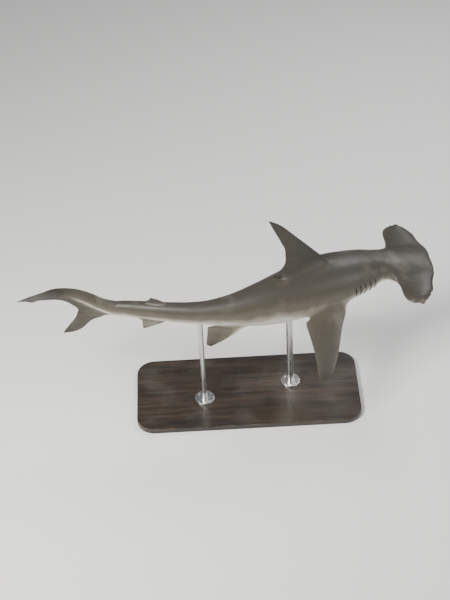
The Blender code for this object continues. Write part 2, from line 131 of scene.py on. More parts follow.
# The hammer's wing: half its thickness, how full it is behind its crest, how its end rounds off, where
# it fades out towards the body, and how it swells round the eye
WING_THICKNESS = 0.0083
WING_FULLNESS = 0.72
WING_TIP_ROUND = 0.015
WING_FADE = ((0.088, 0.030), (0.040, 0.020))
BROW_SWELL = 0.22
BROW_REACH = 0.017

# How far the head hangs below the line and where that ends, and how wing and middle blend
HEAD_DROP = 0.004
HEAD_DROP_ENDS = (0.080, 0.050)
HEAD_BLEND = 3.0

# The bulge along the middle of the head: station, half width and how round it is at its sides
HEAD_BULGE = (
    (0.000, 0.0500, 0.90),
    (0.020, 0.0560, 0.95),
    (0.060, 0.0600, 0.95),
    (0.085, 0.0600, 0.85),
    (0.0955, 0.0590, 0.70),
    (0.104, 0.0520, 0.58),
    (0.116, 0.0442, 0.50),
    (0.130, 0.0430, 1 / SECTION_POWER),
)

# Fin edges: share of the way out, station, place across and height
DORSAL_FIRST_FRONT = (
    (0, 0.2320, 0, 0.0360),
    (0.12, 0.2495, 0, 0.0600),
    (0.30, 0.2810, 0, 0.0990),
    (0.60, 0.3265, 0, 0.1550),
    (0.85, 0.3640, 0, 0.1990),
    (1, 0.3880, 0, 0.2165),
)
DORSAL_FIRST_REAR = (
    (0, 0.346, 0, 0.028),
    (0.12, 0.3500, 0, 0.0560),
    (0.18, 0.3880, 0, 0.0600),
    (0.26, 0.3620, 0, 0.0770),
    (0.38, 0.3510, 0, 0.0960),
    (0.52, 0.3515, 0, 0.1240),
    (0.72, 0.3600, 0, 0.1490),
    (0.88, 0.3745, 0, 0.1830),
    (1, 0.3880, 0, 0.2160),
)
DORSAL_SECOND_FRONT = (
    (0, 0.624, 0, 0.008),
    (0.25, 0.6170, 0, 0.0225),
    (0.60, 0.6330, 0, 0.0325),
    (1, 0.6485, 0, 0.0362),
)
DORSAL_SECOND_REAR = (
    (0, 0.640, 0, 0.008),
    (0.25, 0.6450, 0, 0.0210),
    (0.38, 0.6790, 0, 0.0232),
    (0.55, 0.6600, 0, 0.0262),
    (0.80, 0.6510, 0, 0.0315),
    (1, 0.6487, 0, 0.0360),
)
ANAL_FRONT = (
    (0, 0.624, 0, -0.006),
    (0.25, 0.6150, 0, -0.0205),
    (0.60, 0.6380, 0, -0.0380),
    (1, 0.6680, 0, -0.0522),
)
ANAL_REAR = (
    (0, 0.644, 0, -0.006),
    (0.25, 0.6500, 0, -0.0190),
    (0.40, 0.6860, 0, -0.0222),
    (0.55, 0.6705, 0, -0.0280),
    (0.80, 0.6705, 0, -0.0410),
    (1, 0.6700, 0, -0.0510),
)
PECTORAL_FRONT = (
    (0, 0.2270, 0.026, -0.006),
    (0.12, 0.2300, 0.0480, -0.0300),
    (0.40, 0.2610, 0.0845, -0.0690),
    (0.62, 0.2825, 0.1105, -0.0985),
    (0.84, 0.3080, 0.1342, -0.1260),
    (0.95, 0.3220, 0.1425, -0.1360),
    (1, 0.3300, 0.1450, -0.1390),
)
PECTORAL_REAR = (
    (0, 0.2960, 0.024, -0.008),
    (0.12, 0.2990, 0.0440, -0.0340),
    (0.20, 0.3320, 0.0500, -0.0420),
    (0.40, 0.3330, 0.0790, -0.0735),
    (0.62, 0.3365, 0.1067, -0.1017),
    (0.84, 0.3425, 0.1319, -0.1280),
    (0.91, 0.3430, 0.1372, -0.1330),
    (0.96, 0.3405, 0.1410, -0.1362),
    (0.985, 0.3365, 0.1434, -0.1382),
    (1, 0.3310, 0.1450, -0.1390),
)
PELVIC_FRONT = (
    (0, 0.4540, 0.006, -0.010),
    (0.22, 0.4470, 0.0130, -0.0340),
    (0.60, 0.4850, 0.0285, -0.0500),
    (1, 0.5240, 0.0405, -0.0615),
)
PELVIC_REAR = (
    (0, 0.4900, 0.006, -0.008),
    (0.22, 0.4930, 0.0130, -0.0260),
    (0.36, 0.5290, 0.0130, -0.0290),
    (0.60, 0.5305, 0.0245, -0.0400),
    (0.88, 0.5335, 0.0385, -0.0570),
    (1, 0.5250, 0.0407, -0.0615),
)
LOWER_LOBE_FRONT = (
    (0, 0.7600, 0, 0.0000),
    (0.15, 0.7490, 0, -0.0150),
    (0.45, 0.7800, 0, -0.0320),
    (0.75, 0.8080, 0, -0.0625),
    (0.90, 0.8260, 0, -0.0722),
    (1, 0.8420, 0, -0.0755),
)
LOWER_LOBE_REAR = (
    (0, 0.7900, 0, 0.0100),
    (0.15, 0.8050, 0, 0.0030),
    (0.45, 0.8130, 0, -0.0190),
    (0.75, 0.8290, 0, -0.0465),
    (0.90, 0.8385, 0, -0.0650),
    (1, 0.8424, 0, -0.0750),
)
UPPER_LOBE_TOP = (
    (0, 0.7350, 0, 0.0170),
    (0.12, 0.7573, 0, 0.0325),
    (0.26, 0.7940, 0, 0.0580),
    (0.42, 0.8380, 0, 0.0860),
    (0.64, 0.8900, 0, 0.1215),
    (0.84, 0.9400, 0, 0.1525),
    (1, 0.9770, 0, 0.1580),
)
UPPER_LOBE_UNDER = (
    (0, 0.7350, 0, -0.0150),
    (0.12, 0.7700, 0, -0.0150),
    (0.26, 0.8020, 0, 0.0015),
    (0.42, 0.8340, 0, 0.0375),
    (0.64, 0.8850, 0, 0.0785),
    (0.79, 0.9140, 0, 0.1050),
    (0.82, 0.9220, 0, 0.1085),
    (0.92, 0.9500, 0, 0.1370),
    (1, 0.9768, 0, 0.1575),
)

# Fins: half thickness at the root and at the tip in metres, and how the upper lobe thins out
DORSAL_FIRST_THICKNESS = (0.021, 0.0020)
SMALL_FIN_THICKNESS = (0.010, 0.0014)
PECTORAL_THICKNESS = (0.024, 0.0022)
PELVIC_THICKNESS = (0.011, 0.0016)
LOWER_LOBE_THICKNESS = (0.0065, 0.0016)
UPPER_LOBE_THICKNESS = (0.0310, 0.0016)
FIN_THINNING = 1.5
UPPER_LOBE_THINNING = 3.2
PECTORAL_FACE = (0, 0.72, 0.69)
PELVIC_FACE = (0, 0.62, 0.78)

# Eyes: station, place across and height, and the ball's radius, as shares; then the way they look
EYE_PLACE = (0.0570, 0.1302, -0.0045)
EYE_RADIUS = 0.0065
EYE_OUT = (-0.16, 0.97, 0.10)

# The bow of the gill slits and of the body's rings there, as shares
GILL_BOW = 0.0026
GILL_BOW_MIDDLE = -0.0062
GILL_BOW_HALF = 0.0195
GILL_BOW_MOST = 1.6
GILL_BOW_RUN = ((0.130, 0.022), (0.2095, 0.030))
BOW_ROUNDS = 4

# How finely the skin is laid: points round a ring, rings of the head and how they crowd at the front,
# and the stations of the body's rings as start, end and step
RING_POINTS = 160
HEAD_RINGS = 130
HEAD_RING_CROWDING = 1.4
HEAD_EDGE = 0.0006
NOSE_SPREAD = 0.9
RING_EVENING = 0.2
RING_EVENING_ENDS = (0.13, 0.08)
CORNER_ROUNDING = 1
BODY_STEPS = (
    (0.130, 0.148, 0.0016),
    (0.148, 0.216, 0.0008),
    (0.216, 0.735, 0.0042),
    (0.735, 0.852, 0.0050),
)

# Kinds of face on the skin while it is put together, and how far a fillet reaches from each, in metres
BODY_KIND, FIN_KIND, SMALL_FIN_KIND, LID_KIND, SOCKET_KIND = range(5)
FILLET = {FIN_KIND: 0.048, SMALL_FIN_KIND: 0.020, LID_KIND: 0.022}


def smooth_curve(points):
    """A curve through (place, value) points that never overshoots them, for arrays of places."""
    table = np.array(points, dtype=float)
    x = table[:, 0]
    y = table[:, 1:]
    step = np.diff(x)[:, None]
    rise = np.diff(y, axis=0) / step
    slope = np.zeros_like(y)
    ahead = 2 * step[1:] + step[:-1]
    behind = step[1:] + 2 * step[:-1]
    level = rise[:-1] * rise[1:] <= 0
    safe_before = np.where(level, 1.0, rise[:-1])
    safe_after = np.where(level, 1.0, rise[1:])
    slope[1:-1] = np.where(level, 0.0, (ahead + behind) / (ahead / safe_before + behind / safe_after))
    slope[0] = rise[0]
    slope[-1] = rise[-1]

    def value(place):
        place = np.asarray(place, dtype=float)
        k = np.clip(np.searchsorted(x, place) - 1, 0, len(x) - 2)
        h = x[k + 1] - x[k]
        t = np.clip((place - x[k]) / h, 0.0, 1.0)[..., None]
        h = h[..., None]
        start = (1 + 2 * t) * (1 - t) ** 2 * y[k] + t * (1 - t) ** 2 * h * slope[k]
        finish = t * t * (3 - 2 * t) * y[k + 1] - t * t * (1 - t) * h * slope[k + 1]
        both = start + finish
        return both[..., 0] if both.shape[-1] == 1 else both

    return value


def even_curve(points):
    """A curve through points in space, by the share of its length that is behind."""
    table = np.array(points, dtype=float)
    run = np.concatenate([[0.0], np.cumsum(np.linalg.norm(np.diff(table, axis=0), axis=1))])
    return smooth_curve(np.column_stack([run / run[-1], table]))


def ease(value):
    """A share from 0 to 1, slow at both ends."""
    t = np.clip(value, 0.0, 1.0)
    return t * t * (3 - 2 * t)


def bump(distance, reach):
    """A soft rise to 1 at a distance of 0."""
    return np.exp(-np.square(distance / reach))


def swim_line():
    """Stations along the body, the points of the swim line in plan and the headings there."""
    stations = np.linspace(0.0, LINE_END, LINE_STEPS)
    turn = np.radians(smooth_curve(HEADINGS)(stations))
    back = -np.stack([np.cos(turn), np.sin(turn)], axis=1)
    points = np.zeros_like(back)
    points[1:] = np.cumsum((back[1:] + back[:-1]) / 2 * (stations[1] * LENGTH), axis=0)
    return stations, points, turn


LINE = swim_line()


def swim(straight):
    """The places in the swim pose of points of the straight animal, in metres."""
    straight = np.asarray(straight, dtype=float)
    x, y, z = straight[..., 0] / LENGTH, straight[..., 1], straight[..., 2]
    lean = math.radians(TAIL_LEAN) * ease((x - TAIL_LEAN_FROM) / TAIL_LEAN_OVER)
    side = y * np.cos(lean) - z * np.sin(lean)
    up = z * np.cos(lean) + y * np.sin(lean)
    stations, points, turn = LINE
    facing = np.interp(x, stations, turn)
    return np.stack([
        np.interp(x, stations, points[:, 0]) - np.sin(facing) * side,
        np.interp(x, stations, points[:, 1]) + np.cos(facing) * side,
        BODY_HEIGHT + up,
    ], axis=-1)


def frame_shift():
    """How far the swim pose is moved to stand where the frame does, read from the left eye."""
    low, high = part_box("eye_left")
    place = swim(np.array(EYE_PLACE) * LENGTH)
    return np.array([(low.x + high.x) / 2 - place[0], (low.y + high.y) / 2 - place[1], 0.0])


SHIFT = frame_shift()

body_size = smooth_curve(BODY)
muscle_rise = smooth_curve(MUSCLE_RISE)
front_edge = smooth_curve(FRONT_EDGE)
head_bulge = smooth_curve(HEAD_BULGE)
head_outline = even_curve(WING_END + REAR_EDGE + NECK_SIDE)
OUTLINE = head_outline(np.linspace(0, 1, OUTLINE_STEPS))
WIDEST = int(np.argmax(OUTLINE[:, 1]))


def wing_front(across):
    """Station of the hammer's front edge at a place across it, round the wing end too."""
    x, y = OUTLINE[:WIDEST + 1].T
    return np.where(across < y[0], front_edge(across), np.interp(across, y, x))


def rear_edge(across):
    """Station of the hammer's rear edge, and of the neck's side where the wing has ended."""
    x, y = OUTLINE[WIDEST:][::-1].T
    return np.interp(across, y, x)


def foil(along, fullness):
    """Thickness of an aerofoil at a share of its chord, with 1 at its thickest."""
    crest = 0.5 / (0.5 + fullness)
    return np.sqrt(along / crest) * ((1 - along) / (1 - crest)) ** fullness


def wing_height(x, y):
    """Half thickness of the hammer's wing, an aerofoil that ends round and swells by the eye."""
    across = np.abs(y)
    front = wing_front(across)
    along = np.clip((x - front) / np.maximum(rear_edge(across) - front, 1e-4), 0.0, 1.0)
    tip = np.clip((across - HEAD_HALF) / WING_TIP_ROUND + 1, 0.0, 1.0)
    brow = 1 + BROW_SWELL * bump(np.hypot(x - EYE_PLACE[0], across - EYE_PLACE[1]), BROW_REACH)
    (back_from, back_over), (side_from, side_over) = WING_FADE
    fade = 1 - ease((x - back_from) / back_over) * ease((side_from + side_over - across) / side_over)
    return WING_THICKNESS * foil(along, WING_FULLNESS) * np.sqrt(1 - tip * tip) * brow * fade


def head_surface(x, y, top):
    """Height of the head's skin over a place in the straight animal; top is 1 or -1."""
    back, belly = np.moveaxis(body_size(x)[..., 1:], -1, 0)
    width, roundness = np.moveaxis(head_bulge(x), -1, 0)
    share = np.minimum(np.abs(y) / width, 1.0)
    middle = np.where(top > 0, back, belly) * (1 - share ** SECTION_POWER) ** roundness
    both = (middle ** HEAD_BLEND + wing_height(x, y) ** HEAD_BLEND) ** (1 / HEAD_BLEND)
    level = -HEAD_DROP * (1 - ease((x - HEAD_DROP_ENDS[0]) / HEAD_DROP_ENDS[1]))
    return level + top * both


def ring_angles(evening):
    """The angles of a ring's points, drawn a little away from the flanks."""
    angle = np.arange(RING_POINTS) * 2 * math.pi / RING_POINTS
    return angle + evening * np.sin(2 * angle)


def power(value):
    """A sine or cosine raised to give the body's squarish section."""
    return np.sign(value) * np.abs(value) ** (2 / SECTION_POWER)


def head_rings():
    """Rings of the head: each runs from the midline out to a point of the hammer's outline."""
    share = np.linspace(0.0, 1.0, HEAD_RINGS)[:-1, None] ** HEAD_RING_CROWDING
    angle = ring_angles(RING_EVENING)[None, :]
    side = head_outline(share[:, 0])
    side_x, side_y = side[:, :1], side[:, 1:]
    nose = FRONT_EDGE[0][1]
    middle = nose + (NECK_SIDE[-1][0] - nose) * share ** NOSE_SPREAD
    first_x, first_y = WING_END[0]
    out = power(np.cos(angle))
    run = middle + (side_x - middle) * out * out
    first = nose + (first_x - nose) * out * out
    x = run + (front_edge(np.abs(out) * first_y) - first) * (1 - share) ** 3
    y = out * side_y
    top = np.where(np.sin(angle) > 1e-9, 1.0, -1.0) * np.ones_like(x)
    z = head_surface(x, y, top)
    rim = (np.abs(out) > 0.99999) | (share == 0)
    level = (head_surface(x, y, np.ones_like(x)) + head_surface(x, y, -np.ones_like(x))) / 2
    least = HEAD_EDGE * np.sqrt(np.maximum(1 - np.abs(out), 0))
    z = np.where(top > 0, np.maximum(z, level + least), np.minimum(z, level - least))
    return np.stack([x, y, np.where(rim, level, z)], axis=-1)


def gill_bow(z):
    """How far back the line of a gill slit lies at a height, as a share."""
    return GILL_BOW * np.minimum(np.square((z - GILL_BOW_MIDDLE) / GILL_BOW_HALF), GILL_BOW_MOST)


def body_rings():
    """Rings of the body from the neck back, up the muscle of the tail's upper lobe."""
    runs = [np.arange(start, end - step / 2, step) for start, end, step in BODY_STEPS]
    stations = np.append(np.concatenate(runs), BODY_STEPS[-1][1])
    evening = RING_EVENING * (1 - ease((stations - RING_EVENING_ENDS[0]) / RING_EVENING_ENDS[1]))
    angle = np.stack([ring_angles(amount) for amount in evening])
    (start, start_over), (end, end_over) = GILL_BOW_RUN
    bowed = ease((stations - start) / start_over) * (1 - ease((stations - end) / end_over))
    x = stations[:, None] + np.zeros_like(angle)
    for _ in range(BOW_ROUNDS):
        width, back, belly = np.moveaxis(body_size(x.ravel()).reshape(x.shape + (3,)), -1, 0)
        height = np.where(np.sin(angle) > 0, back, belly)
        z = height * power(np.sin(angle)) + muscle_rise(x.ravel()).reshape(x.shape)
        x = stations[:, None] + gill_bow(z) * bowed[:, None]
    return np.stack([x, width * power(np.cos(angle)), z], axis=-1)


def loft(work, rings, u, v, kind, caps=(False, True)):
    """Adds a closed solid through rings of points, in metres, with its ray map and kind of face."""
    layer = work.loops.layers.uv["rays"]
    rows = [[work.verts.new(point) for point in ring] for ring in rings]
    count = len(rows[0])
    for i, (first, second) in enumerate(zip(rows, rows[1:])):
        for k in range(count):
            j = (k + 1) % count
            face = work.faces.new((first[k], first[j], second[j], second[k]))
            face.material_index = kind
            places = ((u[k], v[i]), (u[k + 1], v[i]), (u[k + 1], v[i + 1]), (u[k], v[i + 1]))
            for corner, place in zip(face.loops, places):
                corner[layer].uv = place
    for row, wanted in zip((rows[0], rows[-1]), caps):
        if wanted:
            work.faces.new(row).material_index = kind


def new_work():
    """A working mesh with a map for the fins' rays."""
    work = bmesh.new()
    work.loops.layers.uv.new("rays")
    return work


def placed(name, data):
    """An object of a mesh, camera or light, in the scene."""
    obj = bpy.data.objects.new(name, data)
    bpy.context.scene.collection.objects.link(obj)
    return obj


def mesh_of(work, name):
    """The mesh of a working mesh, which is dropped."""
    mesh = bpy.data.meshes.new(name)
    work.to_mesh(mesh)
    work.free()
    return mesh


def closed(work, name):
    """Welds the lofts in a working mesh, turns their faces out and makes an object of them."""
    bmesh.ops.remove_doubles(work, verts=work.verts, dist=WELD)
    bmesh.ops.dissolve_degenerate(work, edges=work.edges, dist=WELD / 4)
    bmesh.ops.recalc_face_normals(work, faces=work.faces)
    mesh = mesh_of(work, name)
    for _ in range(SOCKET_KIND + 1):
        mesh.materials.append(None)
    return placed(name, mesh)


def make_body():
    """The body from the snout to the muscle in the tail, with the head."""
    work = new_work()
    rings = np.concatenate([head_rings(), body_rings()])
    u = np.linspace(0, 1, RING_POINTS + 1)
    loft(work, rings * LENGTH, u, rings[:, 0, 0], BODY_KIND)
    return closed(work, "skin")


def rounded(edge):
    """An edge with its corners rounded off, its ends kept."""
    for _ in range(CORNER_ROUNDING):
        edge[1:-1] = (edge[:-2] + 2 * edge[1:-1] + edge[2:]) / 4
    return edge


def foil_rings(front, rear, side, thickness, count, points, fullness):
    """Sections of a fin from its root to its tip, as (ring, point, place), in metres."""
    share = np.sin(np.linspace(0, math.pi / 2, count))
    lead = rounded(smooth_curve(front)(share))[:, None, :] * LENGTH
    trail = rounded(smooth_curve(rear)(share))[:, None, :] * LENGTH
    angle = np.arange(points) * 2 * math.pi / points
    along = ((1 - np.cos(angle)) / 2)[None, :, None]
    depth = thickness(share)[:, None, None] * foil(along, fullness(share)[:, None, None])
    inner = (np.arange(points) % (points // 2) != 0)[None, :, None]
    depth = np.where(inner, np.maximum(depth, THINNEST_FIN / 2), depth)
    outward = np.array(side) * np.sign(np.sin(angle))[None, :, None]
    rings = lead + (trail - lead) * along + outward * depth
    rings[-1] = rings[-1].mean(axis=0)
    return rings, share


def add_foil(work, rings, share, kind):
    """Adds a fin with the shares along its chord and out along it for a map."""
    points = rings.shape[1]
    along = (1 - np.cos(np.arange(points + 1) * 2 * math.pi / points)) / 2
    loft(work, rings, along, share, kind, caps=(True, False))


def add_fin(work, front, rear, thickness, kind, side=(0, 1, 0), count=44, points=48):
    """Adds a fin between two edges, thick to the side of its face."""
    root, tip = thickness
    rings, share = foil_rings(
        front, rear, side,
        lambda s: tip + (root - tip) * (1 - s) ** FIN_THINNING,
        count, points,
        lambda s: FIN_FULLNESS + 0 * s,
    )
    add_foil(work, rings, share, kind)


def add_upper_lobe(work):
    """Adds the tail's upper lobe, round where the body's muscle runs in it and sharp behind."""
    root, tip = UPPER_LOBE_THICKNESS
    rings, share = foil_rings(
        UPPER_LOBE_TOP, UPPER_LOBE_UNDER, (0, 1, 0),
        lambda s: tip + (root - tip) * (1 - s) ** UPPER_LOBE_THINNING,
        64, 48,
        lambda s: 0.5 + 0.4 * ease(s / 0.35),
    )
    add_foil(work, rings, share, FIN_KIND)


def mirrored(place, way):
    """A place or a way on the left (1) or the right (-1)."""
    x, y, z = place
    return x, y * way, z


def on_side(points, way):
    """The same edge on the left (1) or the right (-1)."""
    return [(share, *mirrored(place, way)) for share, *place in points]


def make_fins():
    """All fins but the tail's lower lobe, in one solid."""
    work = new_work()
    add_fin(work, DORSAL_FIRST_FRONT, DORSAL_FIRST_REAR, DORSAL_FIRST_THICKNESS, FIN_KIND, count=52)
    for front, rear in ((DORSAL_SECOND_FRONT, DORSAL_SECOND_REAR), (ANAL_FRONT, ANAL_REAR)):
        add_fin(work, front, rear, SMALL_FIN_THICKNESS, SMALL_FIN_KIND, count=26, points=36)
    for way in (1, -1):
        front, rear = on_side(PECTORAL_FRONT, way), on_side(PECTORAL_REAR, way)
        add_fin(work, front, rear, PECTORAL_THICKNESS, FIN_KIND, mirrored(PECTORAL_FACE, way))
        front, rear = on_side(PELVIC_FRONT, way), on_side(PELVIC_REAR, way)
        add_fin(work, front, rear, PELVIC_THICKNESS, SMALL_FIN_KIND, mirrored(PELVIC_FACE, way), 28, 36)
    add_upper_lobe(work)
    return closed(work, "fins")


def eye_axes(way):
    """The eye's middle and its outward, forward and upward ways in the straight animal."""
    middle = np.array(mirrored(EYE_PLACE, way)) * LENGTH
    out = np.array(mirrored(EYE_OUT, way))
    out /= np.linalg.norm(out)
    forward = np.array([-1.0, 0.0, 0.0])
    forward -= out * (forward @ out)
    forward /= np.linalg.norm(forward)
    up = np.cross(forward, out) * -way
    return middle, out, forward, up


# Lids: angles from the eye's axis in degrees, of the opening, of how much longer it is than high, of
# its rim, of where the soft fold round it begins and of how deep it goes; then how far lid and soft
# skin reach, in radii of the eye, and the lid's skin in metres
LID_OPENING = 50
LID_STRETCH = 5
LID_RIM = 6
LID_SOFT_FROM = 68
LID_DEPTH = 112
LID_END = 1.6
LID_SOFT_END = 1.75
LID_SKIN = 0.0021
LID_INSIDE = 0.0018
LID_CLEAR = 0.0003
LID_LEAST = 0.0012
# Painted shade on the socket's wall round the ball: how far past the ball it reaches and over what it
# fades, in metres
SOCKET_SHADE = (0.0012, 0.0010)
LID_POINTS = 72
LID_RIM_STEPS = 5
LID_OUTER_STEPS = 12
LID_INNER_STEPS = 6
SOCKET_SEGMENTS = (48, 30)


def add_lid(work, way):
    """The fold of skin round an eye: part of a shell over the ball with a rounded rim."""
    middle, out, forward, up = eye_axes(way)
    inner = EYE_RADIUS * LENGTH - LID_INSIDE
    outer = EYE_RADIUS * LENGTH + LID_CLEAR + LID_SKIN
    turn = np.linspace(0, 2 * math.pi, LID_POINTS, endpoint=False)
    across = np.cos(turn)[:, None] * forward + np.sin(turn)[:, None] * up
    rim = np.radians(LID_OPENING + LID_STRETCH * np.cos(2 * turn))
    deep = math.radians(LID_DEPTH)
    profile = []
    for share in np.linspace(0, 1, LID_OUTER_STEPS):
        profile.append((deep + (rim - deep) * share, outer + 0 * turn))
    half = (outer - inner) / 2
    for bend in np.linspace(0, math.pi, LID_RIM_STEPS + 2)[1:-1]:
        radius = inner + half + half * math.cos(bend)
        profile.append((rim - half / inner * math.sin(bend), radius + 0 * turn))
    for share in np.linspace(1, 0, LID_INNER_STEPS):
        profile.append((deep + (rim - deep) * share, inner + 0 * turn))
    rings = []
    for angle, radius in profile:
        ways = np.cos(angle)[:, None] * out + np.sin(angle)[:, None] * across
        rings.append(middle + radius[:, None] * ways)
    rings.append(rings[0])
    round_map = np.linspace(0, 1, LID_POINTS + 1)
    loft(work, np.array(rings), round_map, np.zeros(len(rings)), LID_KIND, (False, False))


def make_lobe_and_lids():
    """The tail's lower lobe, apart from the upper one that it meets, and the eyes' lids."""
    work = new_work()
    front, rear = LOWER_LOBE_FRONT, LOWER_LOBE_REAR
    add_fin(work, front, rear, LOWER_LOBE_THICKNESS, SMALL_FIN_KIND, count=36, points=40)
    for way in (1, -1):
        add_lid(work, way)
    return closed(work, "lobe and lids")


def make_sockets():
    """The round hollows that the eyeballs sit in."""
    work = new_work()
    for way in (1, -1):
        middle = eye_axes(way)[0]
        radius = EYE_RADIUS * LENGTH + LID_CLEAR
        made = bmesh.ops.create_uvsphere(
            work, u_segments=SOCKET_SEGMENTS[0], v_segments=SOCKET_SEGMENTS[1], radius=radius
        )
        bmesh.ops.translate(work, verts=made["verts"], vec=middle)
    for face in work.faces:
        face.material_index = SOCKET_KIND
    return closed(work, "sockets")


def changed_mesh(obj):
    """The plain mesh that an object's modifiers give, which are then dropped."""
    mesh = bpy.data.meshes.new_from_object(obj.evaluated_get(bpy.context.evaluated_depsgraph_get()))
    obj.modifiers.clear()
    return mesh


def combine(obj, other, way):
    """Unites two solids, or cuts the second from the first, and drops the second."""
    change = obj.modifiers.new("combine", "BOOLEAN")
    change.operation = way
    change.solver = "EXACT"
    change.material_mode = "INDEX"
    change.object = other
    old = obj.data
    obj.data = in_order(changed_mesh(obj))
    mend(obj.data)
    obj.data = in_order(obj.data)
    bpy.data.meshes.remove(old)
    bpy.data.objects.remove(other)


def in_order(mesh):
    """The same mesh with its parts in an order that their places set, which takes the mesh's place. A
    cut and a weld leave them in another order each time, and the next step would depend on it."""
    places = vertex_places(mesh)
    order = np.lexsort(places.T)
    rank = np.empty_like(order)
    rank[order] = np.arange(len(order))
    corners = np.empty(len(mesh.loops), np.int32)
    mesh.loops.foreach_get("vertex_index", corners)
    corners = rank[corners].tolist()
    faces = []
    for face in mesh.polygons:
        ring = list(face.loop_indices)
        first = min(range(len(ring)), key=lambda k: corners[ring[k]])
        ring = ring[first:] + ring[:first]
        faces.append(([corners[k] for k in ring], ring, face.material_index))
    faces.sort(key=lambda face: face[0])
    rays = np.empty(len(corners) * 2)
    mesh.uv_layers["rays"].data.foreach_get("uv", rays)
    rays = rays.reshape(-1, 2)[[k for face in faces for k in face[1]]]
    made = bpy.data.meshes.new(mesh.name)
    made.from_pydata(places[order].tolist(), [], [face[0] for face in faces])
    made.polygons.foreach_set("material_index", [face[2] for face in faces])
    made.uv_layers.new(name="rays").data.foreach_set("uv", rays.ravel())
    for material in mesh.materials:
        made.materials.append(material)
    return made


def mend(mesh):
    """Welds the slivers that a cut leaves and closes what is still open."""
    work = bmesh.new()
    work.from_mesh(mesh)
    bmesh.ops.remove_doubles(work, verts=work.verts, dist=SLIVER)
    bmesh.ops.dissolve_degenerate(work, edges=work.edges, dist=SLIVER / 4)
    loose = [edge for edge in work.edges if not edge.link_faces]
    bmesh.ops.delete(work, geom=loose, context="EDGES")
    bmesh.ops.holes_fill(work, edges=[edge for edge in work.edges if edge.is_boundary], sides=0)
    work.to_mesh(mesh)
    work.free()


# Gill slits: station at mid height, top and bottom, as shares. Each station is that of a ring of the
# body, which bows as the slits do. The slits fade in over a place across, and out towards their ends.
# The flap before a slit, the cut and the shade painted in it are in metres.
GILL_SLITS = (
    (0.1556, 0.0120, -0.0235),
    (0.1696, 0.0135, -0.0265),
    (0.1832, 0.0140, -0.0270),
    (0.1960, 0.0130, -0.0240),
    (0.2084, 0.0100, -0.0170),
)
GILL_EDGE = 0.0002
GILL_SIDE = (0.018, 0.006)
GILL_FADE = 0.3
GILL_FLAP = 0.0034
GILL_FLAP_REACH = 0.011
GILL_DEPTH = 0.0090
GILL_HEAL = 0.0062
GILL_PAINTED_SHADE_REACH = 0.0034

# Mouth: half width, station of the arch's front and of its corners, as shares, then sizes in metres;
# the height below which it is cut, and how cut, jaw and lips fade towards the corners, as shares
MOUTH_HALF = 0.0355
MOUTH_FRONT = 0.0590
MOUTH_CORNER = 0.0860
MOUTH_ARCH = 2.2
MOUTH_GAP = 0.0042
MOUTH_DEPTH = 0.0095
JAW_SWELL = 0.0032
JAW_PLACE = 0.016
JAW_REACH = 0.013
LIP_SWELL = 0.0012
LIP_PLACE = 0.007
LIP_REACH = 0.0045
MOUTH_UNDER = (-0.008, 0.004)
MOUTH_FADE = 0.12
JAW_FADE = (1.15, 0.4)
LIP_FADE = (1.15, 0.3)

# Nostrils at the front edge, and the groove that runs from each towards the middle. Places are
# shares, and so are the height they are cut below and how the groove's ends fade; the rest is metres.
NOSTRIL_PLACE = (0.0315, 0.1085)
NOSTRIL_STEP = 0.004
NOSTRIL_UNDER = (0.001, 0.004)
NOSTRIL_DEPTH = 0.0075
NOSTRIL_HALF = (0.0095, 0.0028)
NASAL_GROOVE = (0.046, 0.106)
NASAL_GROOVE_FADE = (0.012, 0.006)
NASAL_GROOVE_END = 0.05
NASAL_GROOVE_DEPTH = 0.0022
NASAL_GROOVE_WIDTH = 0.0024
NASAL_GROOVE_BACK = 0.0042
# How dark the shade painted in the nasal grooves is, from 0 to 1
NASAL_GROOVE_SHADE = 0.35

# The pit before the tail: its station and how far from there it ends, as shares, how it bows back,
# and its depth and width in metres
PIT_PLACE = 0.7225
PIT_REACH = 0.012
PIT_BOW = 0.25
PIT_DEPTH = 0.0026
PIT_WIDTH = 0.0050

# The folds round the eyes: their height in metres, how many and over how many degrees
FOLD_HEIGHT = 0.00045
FOLDS = 3
FOLD_SPREAD = 42

# Where the skin is laid finer: reaches in metres from each line or place, or in radii of the eye; the
# ends are shares of the way to the mouth's corner or a slit's end, and the last slit's is a station
MOUTH_FINE = (0.016, 0.0065)
MOUTH_FINE_END = 1.15
GILL_FINE = ((-0.004, 0.010), (-0.003, 0.004))
GILL_FINE_END = 1.05
GILL_FINE_FROM = 0.2040
NOSTRIL_FINE = (0.022, 0.014, 0.007)
NASAL_GROOVE_FINE = 0.012
PIT_FINE = 0.014
EYE_FINE = (1.25, 2.6)

# Rough bounds of each of those: under the head, on the flanks, by the nostrils and on the back, as
# shares of the animal's length
MOUTH_BELOW = -0.006
FLANK_FROM = 0.02
NOSTRIL_BELOW = (0.002, 0.001)
GROOVE_FINE_FROM = 0.004
GROOVE_FINE_BEFORE = 0.04
PIT_ABOVE = 0.010


def mouth_gap(x, y):
    """Distance behind the line of the mouth in metres, and the share of the way to its corner."""
    share = np.abs(y) / MOUTH_HALF
    run = np.minimum(share, 1.3)
    line = MOUTH_FRONT + (MOUTH_CORNER - MOUTH_FRONT) * run ** MOUTH_ARCH
    slope = (MOUTH_CORNER - MOUTH_FRONT) * MOUTH_ARCH * run ** (MOUTH_ARCH - 1) / MOUTH_HALF
    return (x - line) * LENGTH / np.sqrt(1 + slope * slope), share


def gill_gaps(x, z):
    """For each slit, the distance behind it in metres and the share of the way to its end."""
    gaps = []
    for station, top, bottom in GILL_SLITS:
        share = (z - (top + bottom) / 2) / ((top - bottom) / 2)
        gaps.append(((x - station - gill_bow(z)) * LENGTH - GILL_EDGE, np.abs(share)))
    return gaps


